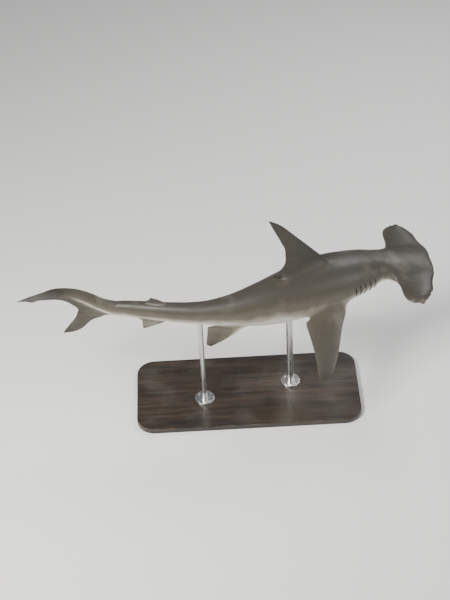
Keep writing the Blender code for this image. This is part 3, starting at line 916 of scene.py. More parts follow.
def nostril_gap(x, y):
    """Distances from the nostril's middle along the front edge and back from it, in metres."""
    station, across = NOSTRIL_PLACE
    before, after = front_edge(across - NOSTRIL_STEP), front_edge(across + NOSTRIL_STEP)
    along = np.array([after - before, 2 * NOSTRIL_STEP])
    along /= np.linalg.norm(along)
    dx, dy = (x - station) * LENGTH, (np.abs(y) - across) * LENGTH
    return dx * along[0] + dy * along[1], dx * along[1] - dy * along[0]


def eye_angles(places):
    """The angle of each place from the nearer eye's axis, and its distance from the eye's middle."""
    angle = np.full(len(places), math.pi)
    distance = np.full(len(places), 9.0)
    for way in (1, -1):
        middle, out = eye_axes(way)[:2]
        off = places - middle
        length = np.linalg.norm(off, axis=1)
        closer = length < distance
        turn = np.arccos(np.clip(off @ out / np.maximum(length, 1e-9), -1, 1))
        angle = np.where(closer, turn, angle)
        distance = np.where(closer, length, distance)
    return angle, distance


def fine_faces(places):
    """Which faces need halving once, and which of those twice, for the relief and the eyes' rims."""
    x, y, z = (places / LENGTH).T
    across = np.abs(y)
    gap, share = mouth_gap(x, y)
    under = (z < MOUTH_BELOW) & (share < MOUTH_FINE_END)
    once, twice = (under & (np.abs(gap) < reach) for reach in MOUTH_FINE)
    for gap, share in gill_gaps(x, z):
        side = (share < GILL_FINE_END) & (across > FLANK_FROM)
        wide, narrow = (side & (gap > low) & (gap < high) for low, high in GILL_FINE)
        once |= wide
        twice |= narrow & (x > GILL_FINE_FROM)
    along, back = nostril_gap(x, y)
    reach, half_along, half_back = NOSTRIL_FINE
    once |= (np.hypot(along, back) < reach) & (z < NOSTRIL_BELOW[0])
    twice |= (np.abs(along) < half_along) & (np.abs(back) < half_back) & (z < NOSTRIL_BELOW[1])
    inner, outer = NASAL_GROOVE
    groove = (across > inner - GROOVE_FINE_FROM) & (across < outer) & (z < 0) & (x < GROOVE_FINE_BEFORE)
    once |= groove & ((x - front_edge(across)) * LENGTH < NASAL_GROOVE_FINE)
    once |= (np.abs(x - PIT_PLACE) * LENGTH < PIT_FINE) & (z > PIT_ABOVE)
    distance = eye_angles(places)[1]
    nearest, farthest = EYE_FINE
    once |= (distance < farthest * EYE_RADIUS * LENGTH) & (distance > nearest * EYE_RADIUS * LENGTH)
    return once, twice


def refine(mesh):
    """Halves the faces where fine relief comes, and makes triangles of all faces."""
    work = bmesh.new()
    work.from_mesh(mesh)
    for level in (0, 1):
        places = np.array([face.calc_center_median() for face in work.faces])
        wanted = fine_faces(places)[level]
        work.faces.index_update()
        edges = [edge for edge in work.edges if any(wanted[face.index] for face in edge.link_faces)]
        bmesh.ops.subdivide_edges(work, edges=edges, cuts=1, use_grid_fill=True)
    bmesh.ops.triangulate(work, faces=work.faces)
    work.to_mesh(mesh)
    work.free()


def vertex_places(mesh):
    """The places of a mesh's vertices, a row for each."""
    places = np.empty(len(mesh.vertices) * 3)
    mesh.vertices.foreach_get("co", places)
    return places.reshape(-1, 3)


def move_vertices(mesh, places):
    """Puts a mesh's vertices at these places."""
    mesh.vertices.foreach_set("co", places.ravel())
    mesh.update()


def vertex_normals(mesh):
    """The normals of a mesh's vertices, a row for each."""
    normals = np.empty(len(mesh.vertices) * 3, np.float32)
    mesh.vertex_normals.foreach_get("vector", normals)
    return normals.reshape(-1, 3).astype(float)


# How many rounds of evening the seams, the fillets, the flank's shade and the fins' masks get
SEAM_STEPS = 30
FILLET_STEPS = 90
FLANK_STEPS = 45
FIN_MASK_STEPS = 8
FILLET_WEIGHT = 0.7

# The corner between hammer and neck: its place as shares, and how far it is smoothed in metres
NECK_CORNER = (0.0985, 0.0585)
NECK_CORNER_REACH = 0.030

# The notch under the rear tip of the first dorsal fin, where the fillet fades out: station and
# height as shares, reach in metres
NOTCH = (0.3600, 0.0550)
NOTCH_REACH = 0.030
NOTCH_SHARPNESS = 0.93

# The front of the hammer: how much it is evened, from 0 to 1, and how far back in metres
FRONT_EVENING = 0.40
FRONT_EVENING_REACH = 0.022


class Net:
    """The edges of a mesh, for smoothing values over it."""

    def __init__(self, mesh):
        ends = np.empty(len(mesh.edges) * 2, np.int32)
        mesh.edges.foreach_get("vertices", ends)
        first, second = ends.reshape(-1, 2).T
        self.start = np.concatenate([first, second])
        self.end = np.concatenate([second, first])
        self.size = len(mesh.vertices)
        self.count = np.maximum(np.bincount(self.start, minlength=self.size), 1)

    def average(self, values):
        """The mean of each vertex's neighbours."""
        if values.ndim == 1:
            return np.bincount(self.start, values[self.end], self.size) / self.count
        return np.stack([self.average(column) for column in values.T], axis=1)

    def smooth(self, values, weight, steps):
        """Values drawn towards their neighbours' mean, step by step."""
        weight = weight[:, None] if values.ndim == 2 else weight
        for _ in range(steps):
            values = values + weight * (self.average(values) - values)
        return values


def seam_nearness(mesh, net):
    """How near each vertex is, along the skin, to where a fin or lid leaves the body: 1 on the seam."""
    work = bmesh.new()
    work.from_mesh(mesh)
    seams = {kind: set() for kind in FILLET}
    for edge in work.edges:
        kinds = {face.material_index for face in edge.link_faces}
        if len(kinds) == 2 and SOCKET_KIND not in kinds:
            kind = max(kinds)
            seams[kind].update(vertex.index for vertex in edge.verts)
    work.free()
    places = vertex_places(mesh)
    stride = np.linalg.norm(places[net.start] - places[net.end], axis=1)
    near = np.zeros(net.size)
    for kind, reach in FILLET.items():
        distance = np.full(net.size, 9.0)
        distance[list(seams[kind])] = 0.0
        for _ in range(SEAM_STEPS):
            np.minimum.at(distance, net.start, distance[net.end] + stride)
        near = np.maximum(near, ease(1 - distance / reach))
    return near


def front_rim(places):
    """How much of the evening the blunt front of the hammer gets, to round it off."""
    x, y, _ = (places / LENGTH).T
    across = np.abs(y)
    behind = (x - front_edge(np.minimum(across, WING_END[0][1]))) * LENGTH
    wide = ease((NOSTRIL_PLACE[1] - 0.012 - across) / 0.02)
    return FRONT_EVENING * ease(1 - behind / FRONT_EVENING_REACH) * wide * (x < 0.05)


def clear_of_eyes(places, socket):
    """Lifts the lids' outer skin where evening has drawn it down to the ball."""
    least = EYE_RADIUS * LENGTH + LID_CLEAR + LID_LEAST
    for way in (1, -1):
        middle = eye_axes(way)[0]
        off = places - middle
        length = np.linalg.norm(off, axis=1)
        low = (length < least) & ~socket
        lifted = middle + off * (least / np.maximum(length, 1e-6))[:, None]
        places = np.where(low[:, None], lifted, places)
    return places


def fin_places(mesh):
    """For each vertex the share along the fin's chord, the share out along it, and 1 on a fin."""
    corners = len(mesh.loops)
    vertex = np.empty(corners, np.int32)
    mesh.loops.foreach_get("vertex_index", vertex)
    ray = np.empty(corners * 2)
    mesh.uv_layers["rays"].data.foreach_get("uv", ray)
    ray = ray.reshape(-1, 2)
    kind = np.empty(len(mesh.polygons), np.int32)
    mesh.polygons.foreach_get("material_index", kind)
    size = np.empty(len(mesh.polygons), np.int32)
    mesh.polygons.foreach_get("loop_total", size)
    is_fin = np.isin(np.repeat(kind, size), (FIN_KIND, SMALL_FIN_KIND)).astype(float)
    every = len(mesh.vertices)
    count = np.bincount(vertex, is_fin, every)
    along = np.bincount(vertex, ray[:, 0] * is_fin, every) / np.maximum(count, 1)
    out = np.bincount(vertex, ray[:, 1] * is_fin, every) / np.maximum(count, 1)
    return np.stack([along, out, (count > 0).astype(float)], axis=1)


def gill_relief(x, y, z):
    """How far the gill slits and their flaps push the skin out, and the shade painted in the slits."""
    push = np.zeros(len(x))
    painted_shade = np.zeros(len(x))
    side = ease((np.abs(y) - GILL_SIDE[0]) / GILL_SIDE[1])
    for gap, share in gill_gaps(x, z):
        fade = ease((1 - share) / GILL_FADE) * side
        behind = np.maximum(gap, 0)
        flap = GILL_FLAP * bump(gap, GILL_FLAP_REACH)
        push += fade * np.where(gap > 0, -GILL_DEPTH * np.exp(-behind / GILL_HEAL), flap)
        painted_shade = np.maximum(painted_shade, fade * np.where(gap > 0, np.exp(-behind / GILL_PAINTED_SHADE_REACH), 0))
    return push, painted_shade


def nose_relief(x, y, z):
    """How deep the nostrils and the grooves beside them are, as shares of their full depth."""
    across = np.abs(y)
    along, back = nostril_gap(x, y)
    under = ease((NOSTRIL_UNDER[0] - z) / NOSTRIL_UNDER[1])
    nostril = bump(along, NOSTRIL_HALF[0]) * bump(back, NOSTRIL_HALF[1]) * under
    (inner, outer), (inner_fade, outer_fade) = NASAL_GROOVE, NASAL_GROOVE_FADE
    span = ease((across - inner) / inner_fade) * ease((outer - across) / outer_fade)
    front = front_edge(np.minimum(across, WING_END[0][1]))
    behind = (x - front) * LENGTH - NASAL_GROOVE_BACK
    return nostril, bump(behind, NASAL_GROOVE_WIDTH) * span * under * (x < NASAL_GROOVE_END)


def eye_folds(places):
    """The height of the folds round the eyes, from 1 to -1, and which places may have them."""
    angle, distance = eye_angles(places)
    from_rim = (angle - math.radians(LID_OPENING + LID_STRETCH)) / math.radians(FOLD_SPREAD)
    waves = np.sin(np.clip(from_rim, 0, 1) * FOLDS * 2 * math.pi)
    folds = waves * ease(from_rim / 0.15) * ease((1 - from_rim) / 0.4)
    return folds, distance < LID_END * EYE_RADIUS * LENGTH


def mouth_relief(x, y, z):
    """How far the mouth's line is opened upwards in metres, and the shade painted in its opening."""
    gap, share = mouth_gap(x, y)
    below = ease((MOUTH_UNDER[0] - z) / MOUTH_UNDER[1])
    corner = np.sqrt(np.maximum(1 - share * share, 0))
    opening = ease(1.3 * (1 - np.abs(gap) / (MOUTH_GAP * np.maximum(corner, 0.05))))
    opening = opening * ease((1 - share) / MOUTH_FADE)
    by_jaw, by_lips = (ease((end - share) / over) for end, over in (JAW_FADE, LIP_FADE))
    jaw = JAW_SWELL * bump(gap - JAW_PLACE, JAW_REACH) * (gap > 0) * by_jaw
    lips = LIP_SWELL * bump(np.abs(gap) - LIP_PLACE, LIP_REACH) * by_lips
    return below * (MOUTH_DEPTH * opening * ease(corner * 1.5) - jaw - lips), opening * below


def relief(places, normals):
    """Moves for the gill slits, mouth, nostrils, tail pit and eye folds, and the shade painted in the
    slits, nostrils, grooves and mouth.
    """
    x, y, z = (places / LENGTH).T
    push, painted_shade = gill_relief(x, y, z)
    nostril, groove = nose_relief(x, y, z)
    push -= NOSTRIL_DEPTH * nostril
    # Painted shade deep in the nostrils and along the nasal grooves, then in the mouth's opening
    painted_shade = np.maximum(painted_shade, ease(nostril * 2.4 - 1.1))
    push -= NASAL_GROOVE_DEPTH * groove
    painted_shade = np.maximum(painted_shade, NASAL_GROOVE_SHADE * groove)
    pit = (x - PIT_PLACE) * LENGTH - PIT_BOW * np.abs(y) * LENGTH
    on_back = ease((normals[:, 2] - 0.45) / 0.5)
    push -= PIT_DEPTH * bump(pit, PIT_WIDTH) * on_back * (np.abs(x - PIT_PLACE) < PIT_REACH)
    folds, by_eye = eye_folds(places)
    push += FOLD_HEIGHT * folds * by_eye
    moved = places + normals * push[:, None]
    lift, mouth = mouth_relief(x, y, z)
    moved[:, 2] += lift
    return moved, np.maximum(painted_shade, mouth)


# Shades from 1, the back, to -1, the belly: the least one on the back by the first dorsal fin, that
# of the fins above and below the body, and that of the tail's upper and lower lobe
BACK_SHADE = 0.8
BACK_SHADE_RUN = (0.15, 0.50)
BACK_SHADE_FROM = (0.45, 0.30)
FIN_SHADES = (0.72, -0.05)
LOBE_SHADES = (0.55, 0.30)
LOBES_FROM = 0.72
LOBE_PARTING = -0.012


def shade_side(height, place, straight):
    """The shade of each place from 1, the back, to -1, the belly, with each fin's own. The back by
    the first dorsal fin's root keeps its shade where the fillet faces down."""
    x, y, z = (straight / LENGTH).T
    back = body_size(x)[:, 1] + muscle_rise(x)
    level, over = BACK_SHADE_FROM
    least = (1 + BACK_SHADE) * ease((z / back - level) / over) - 1
    start, end = BACK_SHADE_RUN
    height = np.where((x > start) & (x < end), np.maximum(height, least), height)
    fin = place[:, 2]
    tone = np.where(z > 0, *FIN_SHADES)
    tone = np.where(x > LOBES_FROM, np.where(z > LOBE_PARTING, *LOBE_SHADES), tone)
    paired = (np.abs(y) > 0.012) & (x < 0.60)
    return np.where(paired, height, height + fin * (tone - height))


def store(mesh, name, kind, values):
    """Keeps a value or a vector for each vertex of a mesh."""
    layer = mesh.attributes.new(name, kind, "POINT")
    field = "vector" if kind == "FLOAT_VECTOR" else "value"
    layer.data.foreach_set(field, np.ascontiguousarray(values).ravel())


def evening_share(places, near, angle, distance, socket):
    """How much each place is evened: by the seams, the neck's corner, the eyes and the front."""
    radius = EYE_RADIUS * LENGTH
    rim = (angle < math.radians(LID_OPENING + LID_STRETCH + LID_RIM)) & (distance < LID_END * radius)
    x, y = places[:, 0] / LENGTH, np.abs(places[:, 1]) / LENGTH
    corner = np.hypot(x - NECK_CORNER[0], y - NECK_CORNER[1])
    near = np.maximum(near, np.minimum(1.3 * bump(corner * LENGTH, NECK_CORNER_REACH), 1))
    soft = ease((LID_SOFT_END * radius - distance) / 0.006) * (angle > math.radians(LID_SOFT_FROM))
    near = np.maximum(np.maximum(near, soft), front_rim(places))
    return np.where(rim | socket, 0.0, near)


def notch_share(places):
    """How near each place is to the notch behind the first dorsal fin."""
    station, height = NOTCH
    away = np.hypot(places[:, 0] - station * LENGTH, places[:, 2] - height * LENGTH)
    return bump(away, NOTCH_REACH)


def finish_skin(obj):
    """Fillets, relief and the values that the skin's finish reads, its painted shade among them, then
    the swim pose.
    """
    mesh = obj.data
    refine(mesh)
    net = Net(mesh)
    near = seam_nearness(mesh, net)
    place = fin_places(mesh)
    straight = vertex_places(mesh)
    angle, distance = eye_angles(straight)
    radius = EYE_RADIUS * LENGTH
    socket = distance < radius + LID_CLEAR + 0.0002
    near = evening_share(straight, near, angle, distance, socket)
    weight = FILLET_WEIGHT * near * (1 - NOTCH_SHARPNESS * notch_share(straight))
    straight = net.smooth(straight, weight, FILLET_STEPS)
    straight = clear_of_eyes(straight, socket)
    move_vertices(mesh, straight)
    normals = vertex_normals(mesh)
    everywhere = np.ones(net.size)
    height = net.smooth(normals[:, 2], everywhere, FLANK_STEPS)
    place[:, 2] = net.smooth(place[:, 2] * (1 - 0.5 * near), everywhere, FIN_MASK_STEPS)
    moved, painted_shade = relief(straight, normals)
    # Shade painted on the socket's wall round the eyeball
    inside = angle < math.radians(LID_SOFT_FROM)
    reach, fade = SOCKET_SHADE
    socket_painted_shade = ease((radius + reach - distance) / fade) * inside
    store(mesh, "rest", "FLOAT_VECTOR", straight)
    store(mesh, "fin_place", "FLOAT_VECTOR", place)
    store(mesh, "flank", "FLOAT", shade_side(height, place, straight))
    store(mesh, "painted_shade", "FLOAT", np.maximum(painted_shade, socket_painted_shade))
    move_vertices(mesh, swim(moved) + SHIFT)
    mesh.uv_layers.remove(mesh.uv_layers["rays"])
    mesh.polygons.foreach_set("material_index", np.zeros(len(mesh.polygons), np.int32))
    mesh.materials.clear()
    mesh.shade_smooth()


skin = make_body()
combine(skin, make_fins(), "UNION")
combine(skin, make_lobe_and_lids(), "UNION")
combine(skin, make_sockets(), "DIFFERENCE")
finish_skin(skin)
FLESH = [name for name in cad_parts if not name.startswith(("stand_", "eye_"))]
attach(skin, "root")
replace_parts(skin, *FLESH)


# The ball: its rings and their points, the angle of the first ring, and how the clear front swells
# and over what angle
EYE_RINGS = 40
EYE_POINTS = 56
EYE_END = 0.02
CORNEA_SWELL = 0.05
CORNEA_REACH = 0.75


def eye_grid(way):
    """Rings of the ball from the middle of the clear front to the back, and their directions."""
    middle, out, forward, up = eye_axes(way)
    angle = np.linspace(EYE_END, math.pi - EYE_END, EYE_RINGS)
    turn = np.linspace(0, 2 * math.pi, EYE_POINTS, endpoint=False)
    radius = EYE_RADIUS * LENGTH * (1 + CORNEA_SWELL * bump(angle, CORNEA_REACH))
    across = np.cos(turn)[:, None] * forward + np.sin(turn)[:, None] * up
    ways = np.cos(angle)[:, None, None] * out + np.sin(angle)[:, None, None] * across[None]
    wide, deep = np.sin(angle)[:, None], np.cos(angle)[:, None]
    gaze = np.broadcast_arrays(wide * np.cos(turn), wide * np.sin(turn), deep)
    return middle + ways * radius[:, None, None], np.stack(gaze, axis=-1)


def make_eyeball(word, way):
    """An eyeball in the swim pose, with the way each place of it looks kept for its finish."""
    rings, gaze = eye_grid(way)
    work = new_work()
    loft(work, swim(rings) + SHIFT, np.zeros(EYE_POINTS + 1), np.zeros(EYE_RINGS), 0, (True, True))
    bmesh.ops.recalc_face_normals(work, faces=work.faces)
    mesh = mesh_of(work, "eyeball_" + word)
    store(mesh, "gaze", "FLOAT_VECTOR", gaze)
    mesh.uv_layers.remove(mesh.uv_layers["rays"])
    mesh.shade_smooth()
    ball = placed("eyeball_" + word, mesh)
    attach(ball, "root")
    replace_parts(ball, "eye_" + word)
    return ball


eyeballs = [make_eyeball("left", 1), make_eyeball("right", -1)]


# Nodes are placed by these few calls, in the finishes and in the trees that repeat a shape
FLOAT, VECTOR, GEOMETRY, WHOLE = (
    "NodeSocketFloat", "NodeSocketVector", "NodeSocketGeometry", "NodeSocketInt"
)


def join(tree, value, socket):
    """Links an output to a socket, or sets the socket to a plain value."""
    if isinstance(value, bpy.types.NodeSocket):
        tree.links.new(value, socket)
    else:
        socket.default_value = value


def node(tree, kind, inputs=None, **settings):
    """Adds a node with its inputs and settings."""
    made = tree.nodes.new(kind)
    for name, value in settings.items():
        setattr(made, name, value)
    for key, value in (inputs or {}).items():
        join(tree, value, made.inputs[key])
    return made


def maths(tree, operation, first, second=0.0):
    """One operation on two values."""
    return node(tree, "ShaderNodeMath", {0: first, 1: second}, operation=operation).outputs[0]


def chained(tree, operation, values):
    """Values taken together one after another."""
    result = values[0]
    for value in values[1:]:
        result = maths(tree, operation, result, value)
    return result


def total(tree, *values):
    """The sum of values."""
    return chained(tree, "ADD", values)


def product(tree, *values):
    """The product of values."""
    return chained(tree, "MULTIPLY", values)


def vectors(tree, operation, inputs, output="Vector"):
    """One operation on vectors."""
    return node(tree, "ShaderNodeVectorMath", inputs, operation=operation).outputs[output]


def band(tree, value, low, high, start=0.0, end=1.0):
    """A value eased from between low and high to between start and end."""
    inputs = {"Value": value, "From Min": low, "From Max": high, "To Min": start, "To Max": end}
    return node(tree, "ShaderNodeMapRange", inputs, interpolation_type="SMOOTHSTEP").outputs["Result"]


def blended(tree, share, first, second, way="MIX"):
    """Mixes two colours by a share."""
    inputs = {0: share, 6: first, 7: second}
    return node(tree, "ShaderNodeMix", inputs, data_type="RGBA", blend_type=way).outputs[2]


def layered(tree, colour, *layers):
    """A colour with others laid over it in turn, each by its mask."""
    for mask, tint in layers:
        colour = blended(tree, mask, colour, tint)
    return colour


def ramp(tree, value, stops):
    """A colour for a value, by stops of place and colour."""
    made = node(tree, "ShaderNodeValToRGB", {"Fac": value})
    elements = made.color_ramp.elements
    while len(elements) < len(stops):
        elements.new(0.5)
    for element, (place, colour) in zip(elements, stops):
        element.position = place
        element.color = (*colour, 1)
    return made.outputs["Color"]


def parts_of(tree, vector):
    """The X, Y and Z of a vector."""
    return node(tree, "ShaderNodeSeparateXYZ", {0: vector}).outputs


def stored(tree, name, output):
    """A value or vector that the mesh keeps."""
    return node(tree, "ShaderNodeAttribute", attribute_name=name).outputs[output]


def new_group(name, inputs, outputs, kind="ShaderNodeTree"):
    """A node group with named sockets, and its inner ends."""
    tree = bpy.data.node_groups.new(name, kind)
    for label, socket in inputs.items():
        tree.interface.new_socket(label, in_out="INPUT", socket_type=socket)
    for label, socket in outputs.items():
        tree.interface.new_socket(label, in_out="OUTPUT", socket_type=socket)
    return tree, node(tree, "NodeGroupInput").outputs, node(tree, "NodeGroupOutput").inputs


def use(tree, group, place, pattern):
    """A mask or a height from a shared effect, in a pattern of its own."""
    return node(tree, "ShaderNodeGroup", {"Place": place} | pattern, node_tree=group).outputs[0]


def object_place(tree):
    """The place on an object, in metres."""
    return node(tree, "ShaderNodeTexCoord").outputs["Object"]


def new_finish(name, shade):
    """A material with the values on its shader that are the same all over."""
    material = bpy.data.materials.new(name)
    material.use_nodes = True
    tree = material.node_tree
    shader = tree.nodes["Principled BSDF"]
    for label, value in shade.items():
        shader.inputs[label].default_value = value
    return material, tree, shader.inputs


def raised(tree, height):
    """The normal of a surface with this height in metres on it."""
    inputs = {"Height": height, "Distance": 1.0, "Strength": 1.0}
    return node(tree, "ShaderNodeBump", inputs).outputs["Normal"]


def make_mottle():
    """Cloudy patches: 0 between them and 1 inside."""
    tree, given, result = new_group(
        "mottle", {"Place": VECTOR, "Scale": FLOAT, "Low": FLOAT, "High": FLOAT}, {"Mask": FLOAT}
    )
    inputs = {"Vector": given["Place"], "Scale": given["Scale"], "Detail": 4.0, "Roughness": 0.55}
    cloud = node(tree, "ShaderNodeTexNoise", inputs).outputs["Fac"]
    join(tree, band(tree, cloud, given["Low"], given["High"]), result["Mask"])
    return tree


def make_grain():
    """Fine marks drawn out one way, as of scales, fibres or a brush."""
    tree, given, result = new_group(
        "grain", {"Place": VECTOR, "Stretch": VECTOR, "Scale": FLOAT}, {"Height": FLOAT}
    )
    drawn = vectors(tree, "MULTIPLY", {0: given["Place"], 1: given["Stretch"]})
    inputs = {"Vector": drawn, "Scale": given["Scale"], "Detail": 3.0, "Roughness": 0.6}
    join(tree, node(tree, "ShaderNodeTexNoise", inputs).outputs["Fac"], result["Height"])
    return tree


def make_scratches():
    """Thin wandering lines that come and go."""
    tree, given, result = new_group(
        "scratches", {"Place": VECTOR, "Scale": FLOAT, "Width": FLOAT, "Rarity": FLOAT}, {"Mask": FLOAT}
    )
    inputs = {"Vector": given["Place"], "Scale": given["Scale"], "Detail": 2.0}
    wander = node(tree, "ShaderNodeTexNoise", inputs).outputs
    shift = vectors(tree, "SCALE", {0: wander["Color"], "Scale": 0.09})
    inputs = {"Vector": vectors(tree, "ADD", {0: given["Place"], 1: shift}), "Scale": given["Scale"]}
    cells = node(tree, "ShaderNodeTexVoronoi", inputs, feature="DISTANCE_TO_EDGE")
    line = band(tree, cells.outputs["Distance"], given["Width"], 0.0)
    patchy = band(tree, wander["Fac"], given["Rarity"], total(tree, given["Rarity"], 0.08))
    join(tree, product(tree, line, patchy), result["Mask"])
    return tree


def make_speckle():
    """Small round dots strewn over a surface, some cells without one."""
    tree, given, result = new_group(
        "speckle", {"Place": VECTOR, "Scale": FLOAT, "Size": FLOAT, "Share": FLOAT}, {"Mask": FLOAT}
    )
    cells = node(tree, "ShaderNodeTexVoronoi", {"Vector": given["Place"], "Scale": given["Scale"]})
    dot = band(tree, cells.outputs["Distance"], given["Size"], product(tree, given["Size"], 0.45))
    lot = node(tree, "ShaderNodeSeparateColor", {"Color": cells.outputs["Color"]}).outputs["Red"]
    chosen = maths(tree, "LESS_THAN", lot, given["Share"])
    join(tree, product(tree, dot, chosen), result["Mask"])
    return tree


MOTTLE = make_mottle()
GRAIN = make_grain()
SCRATCHES = make_scratches()
SPECKLE = make_speckle()

# Colours of the skin from belly to back, by height on the flank
SKIN_TONES = (
    (0.12, (0.760, 0.735, 0.680)),
    (0.30, (0.660, 0.630, 0.560)),
    (0.40, (0.310, 0.282, 0.222)),
    (0.50, (0.112, 0.098, 0.073)),
    (0.70, (0.062, 0.054, 0.040)),
    (0.97, (0.042, 0.037, 0.030)),
)
DUSKY = (0.018, 0.016, 0.014, 1)
SCAR_PALE = (0.270, 0.245, 0.200, 1)
# Painted shade in the gill slits, nostrils, nasal grooves, mouth and eye sockets
HOLLOW_PAINTED_SHADE = (0.030, 0.017, 0.015, 1)

# How strongly each mark of the skin shows, from 0 to 1, and how high each relief stands in metres
MARKS = {
    "freckles": 0.16, "patches": 0.16, "fin tips": 0.62, "fin edges": 0.30, "scars": 0.26, "line": 0.12,
    "pores": 0.70,
}
RELIEF = {
    "scales": 0.00020, "folds": 0.00045, "rays": 0.0008, "scars": -0.0003, "line": -0.00012,
    "pores": -0.00015,
}

# Where they fade in: over tones from belly to back, out and back along a fin, and behind the snout
# in metres. The rays fade in and out along a fin.
SHADED_FROM = (0.26, 0.50)
TIP_FROM = (0.76, 0.98)
EDGE_FROM = (0.90, 1.0)
RAYS_OUT = ((0.20, 0.45), (0.95, 0.60))
RAYS_BACK = (0.22, 0.50)
PORES_BEFORE = (0.240, 0.200)

# Patterns of the skin for the shared effects
BROAD_CLOUDS = {"Scale": 2.4, "Low": 0.34, "High": 0.68}
SMALL_CLOUDS = {"Scale": 19.0, "Low": 0.30, "High": 0.70}
FRECKLES = {"Scale": 210.0, "Size": 0.36, "Share": 0.36}
PALE_PATCHES = {"Scale": 7.0, "Low": 0.56, "High": 0.74}
SCARS = {"Scale": 11.0, "Width": 0.014, "Rarity": 0.645}
SCAR_STRETCH = (0.22, 1.0, 1.0)
PORES = {"Scale": 165.0, "Size": 0.20, "Share": 0.42}
PORE_FIELDS = {"Scale": 15.0, "Low": 0.49, "High": 0.56}
DENTICLES = {"Stretch": (0.55, 1.0, 1.0), "Scale": 780.0}
SOFT_FOLDS = {"Stretch": (0.5, 1.0, 1.0), "Scale": 38.0}
FIN_RAYS = {"Stretch": (1.0, 0.035, 0.0), "Scale": 95.0}

# The lateral line in metres: its height at the snout and its slope, how it wanders, where it fades in
# and out, and its half width as easing ends
LATERAL_LINE = (0.046, -0.030)
LATERAL_WANDER = {"Scale": 6.0, "Low": 0.2, "High": 0.8}
LATERAL_WANDER_HEIGHT = 0.010
LATERAL_ENDS = ((0.40, 0.55), (1.82, 1.70))
LATERAL_WIDTH = (0.0030, 0.0006)


def skin_colour(tree, rest, fin, small):
    """Grey brown above and off-white below, with dusky fin tips, scars, freckles and pores, and shade
    painted in the skin's recesses.
    """
    x, _, z = parts_of(tree, rest)
    broad = use(tree, MOTTLE, rest, BROAD_CLOUDS)
    uneven = total(tree, product(tree, broad, 0.12), product(tree, small, 0.07), -0.095)
    tone = total(tree, product(tree, total(tree, stored(tree, "flank", "Fac"), uneven), 0.5), 0.5)
    shaded = band(tree, tone, *SHADED_FROM)
    fleck = use(tree, SPECKLE, rest, FRECKLES)
    pale = use(tree, MOTTLE, rest, PALE_PATCHES)
    tip = product(tree, band(tree, fin["Y"], *TIP_FROM), fin["Z"], MARKS["fin tips"])
    edge = product(tree, band(tree, fin["X"], *EDGE_FROM), fin["Z"], MARKS["fin edges"])
    scar = use(tree, SCRATCHES, vectors(tree, "MULTIPLY", {0: rest, 1: SCAR_STRETCH}), SCARS)
    line = lateral_line(tree, rest, x, z)
    pore = skin_pores(tree, rest, x)
    colour = layered(
        tree,
        ramp(tree, tone, SKIN_TONES),
        (product(tree, fleck, shaded, MARKS["freckles"]), DUSKY),
        (product(tree, pale, shaded, MARKS["patches"]), SCAR_PALE),
        (maths(tree, "MAXIMUM", tip, edge), DUSKY),
        (product(tree, scar, shaded, MARKS["scars"]), SCAR_PALE),
        (product(tree, line, MARKS["line"]), DUSKY),
        (product(tree, pore, MARKS["pores"]), DUSKY),
        # Painted shade in the slits, nostrils, grooves, mouth and eye sockets
        (stored(tree, "painted_shade", "Fac"), HOLLOW_PAINTED_SHADE),
    )
    return colour, scar, line, pore


def lateral_line(tree, rest, x, z):
    """The faint line of the sense organs along the flank."""
    start, slope = LATERAL_LINE
    wave = product(tree, use(tree, MOTTLE, rest, LATERAL_WANDER), LATERAL_WANDER_HEIGHT)
    level = total(tree, product(tree, x, slope), start, wave)
    off = maths(tree, "ABSOLUTE", maths(tree, "SUBTRACT", z, level))
    run = product(tree, *(band(tree, x, *ends) for ends in LATERAL_ENDS))
    return product(tree, band(tree, off, *LATERAL_WIDTH), run)


def skin_pores(tree, rest, x):
    """The sensing pores, strewn in fields over the head."""
    dots = use(tree, SPECKLE, rest, PORES)
    fields = use(tree, MOTTLE, rest, PORE_FIELDS)
    return product(tree, dots, fields, band(tree, x, *PORES_BEFORE))


def make_skin_finish():
    """The skin's colour and sheen, and its fine relief of scales, soft folds and fin rays."""
    material, tree, shader = new_finish("grey brown skin", {
        "Coat Weight": 0.10, "Coat Roughness": 0.30, "Specular IOR Level": 0.40, "IOR": 1.40,
    })
    rest = stored(tree, "rest", "Vector")
    on_fin = stored(tree, "fin_place", "Vector")
    fin = parts_of(tree, on_fin)
    small = use(tree, MOTTLE, rest, SMALL_CLOUDS)
    colour, scar, line, pore = skin_colour(tree, rest, fin, small)
    join(tree, colour, shader["Base Color"])
    denticles = use(tree, GRAIN, rest, DENTICLES)
    outward = product(tree, *(band(tree, fin["Y"], *ends) for ends in RAYS_OUT))
    rayed = product(tree, fin["Z"], outward, band(tree, fin["X"], *RAYS_BACK))
    height = total(
        tree,
        product(tree, denticles, RELIEF["scales"]),
        product(tree, use(tree, GRAIN, rest, SOFT_FOLDS), RELIEF["folds"]),
        product(tree, use(tree, GRAIN, on_fin, FIN_RAYS), rayed, RELIEF["rays"]),
        product(tree, scar, RELIEF["scars"]),
        product(tree, line, RELIEF["line"]),
        product(tree, pore, RELIEF["pores"]),
    )
    join(tree, raised(tree, height), shader["Normal"])
    rough = total(tree, product(tree, small, 0.12), product(tree, denticles, 0.14), 0.37)
    join(tree, rough, shader["Roughness"])
    return material


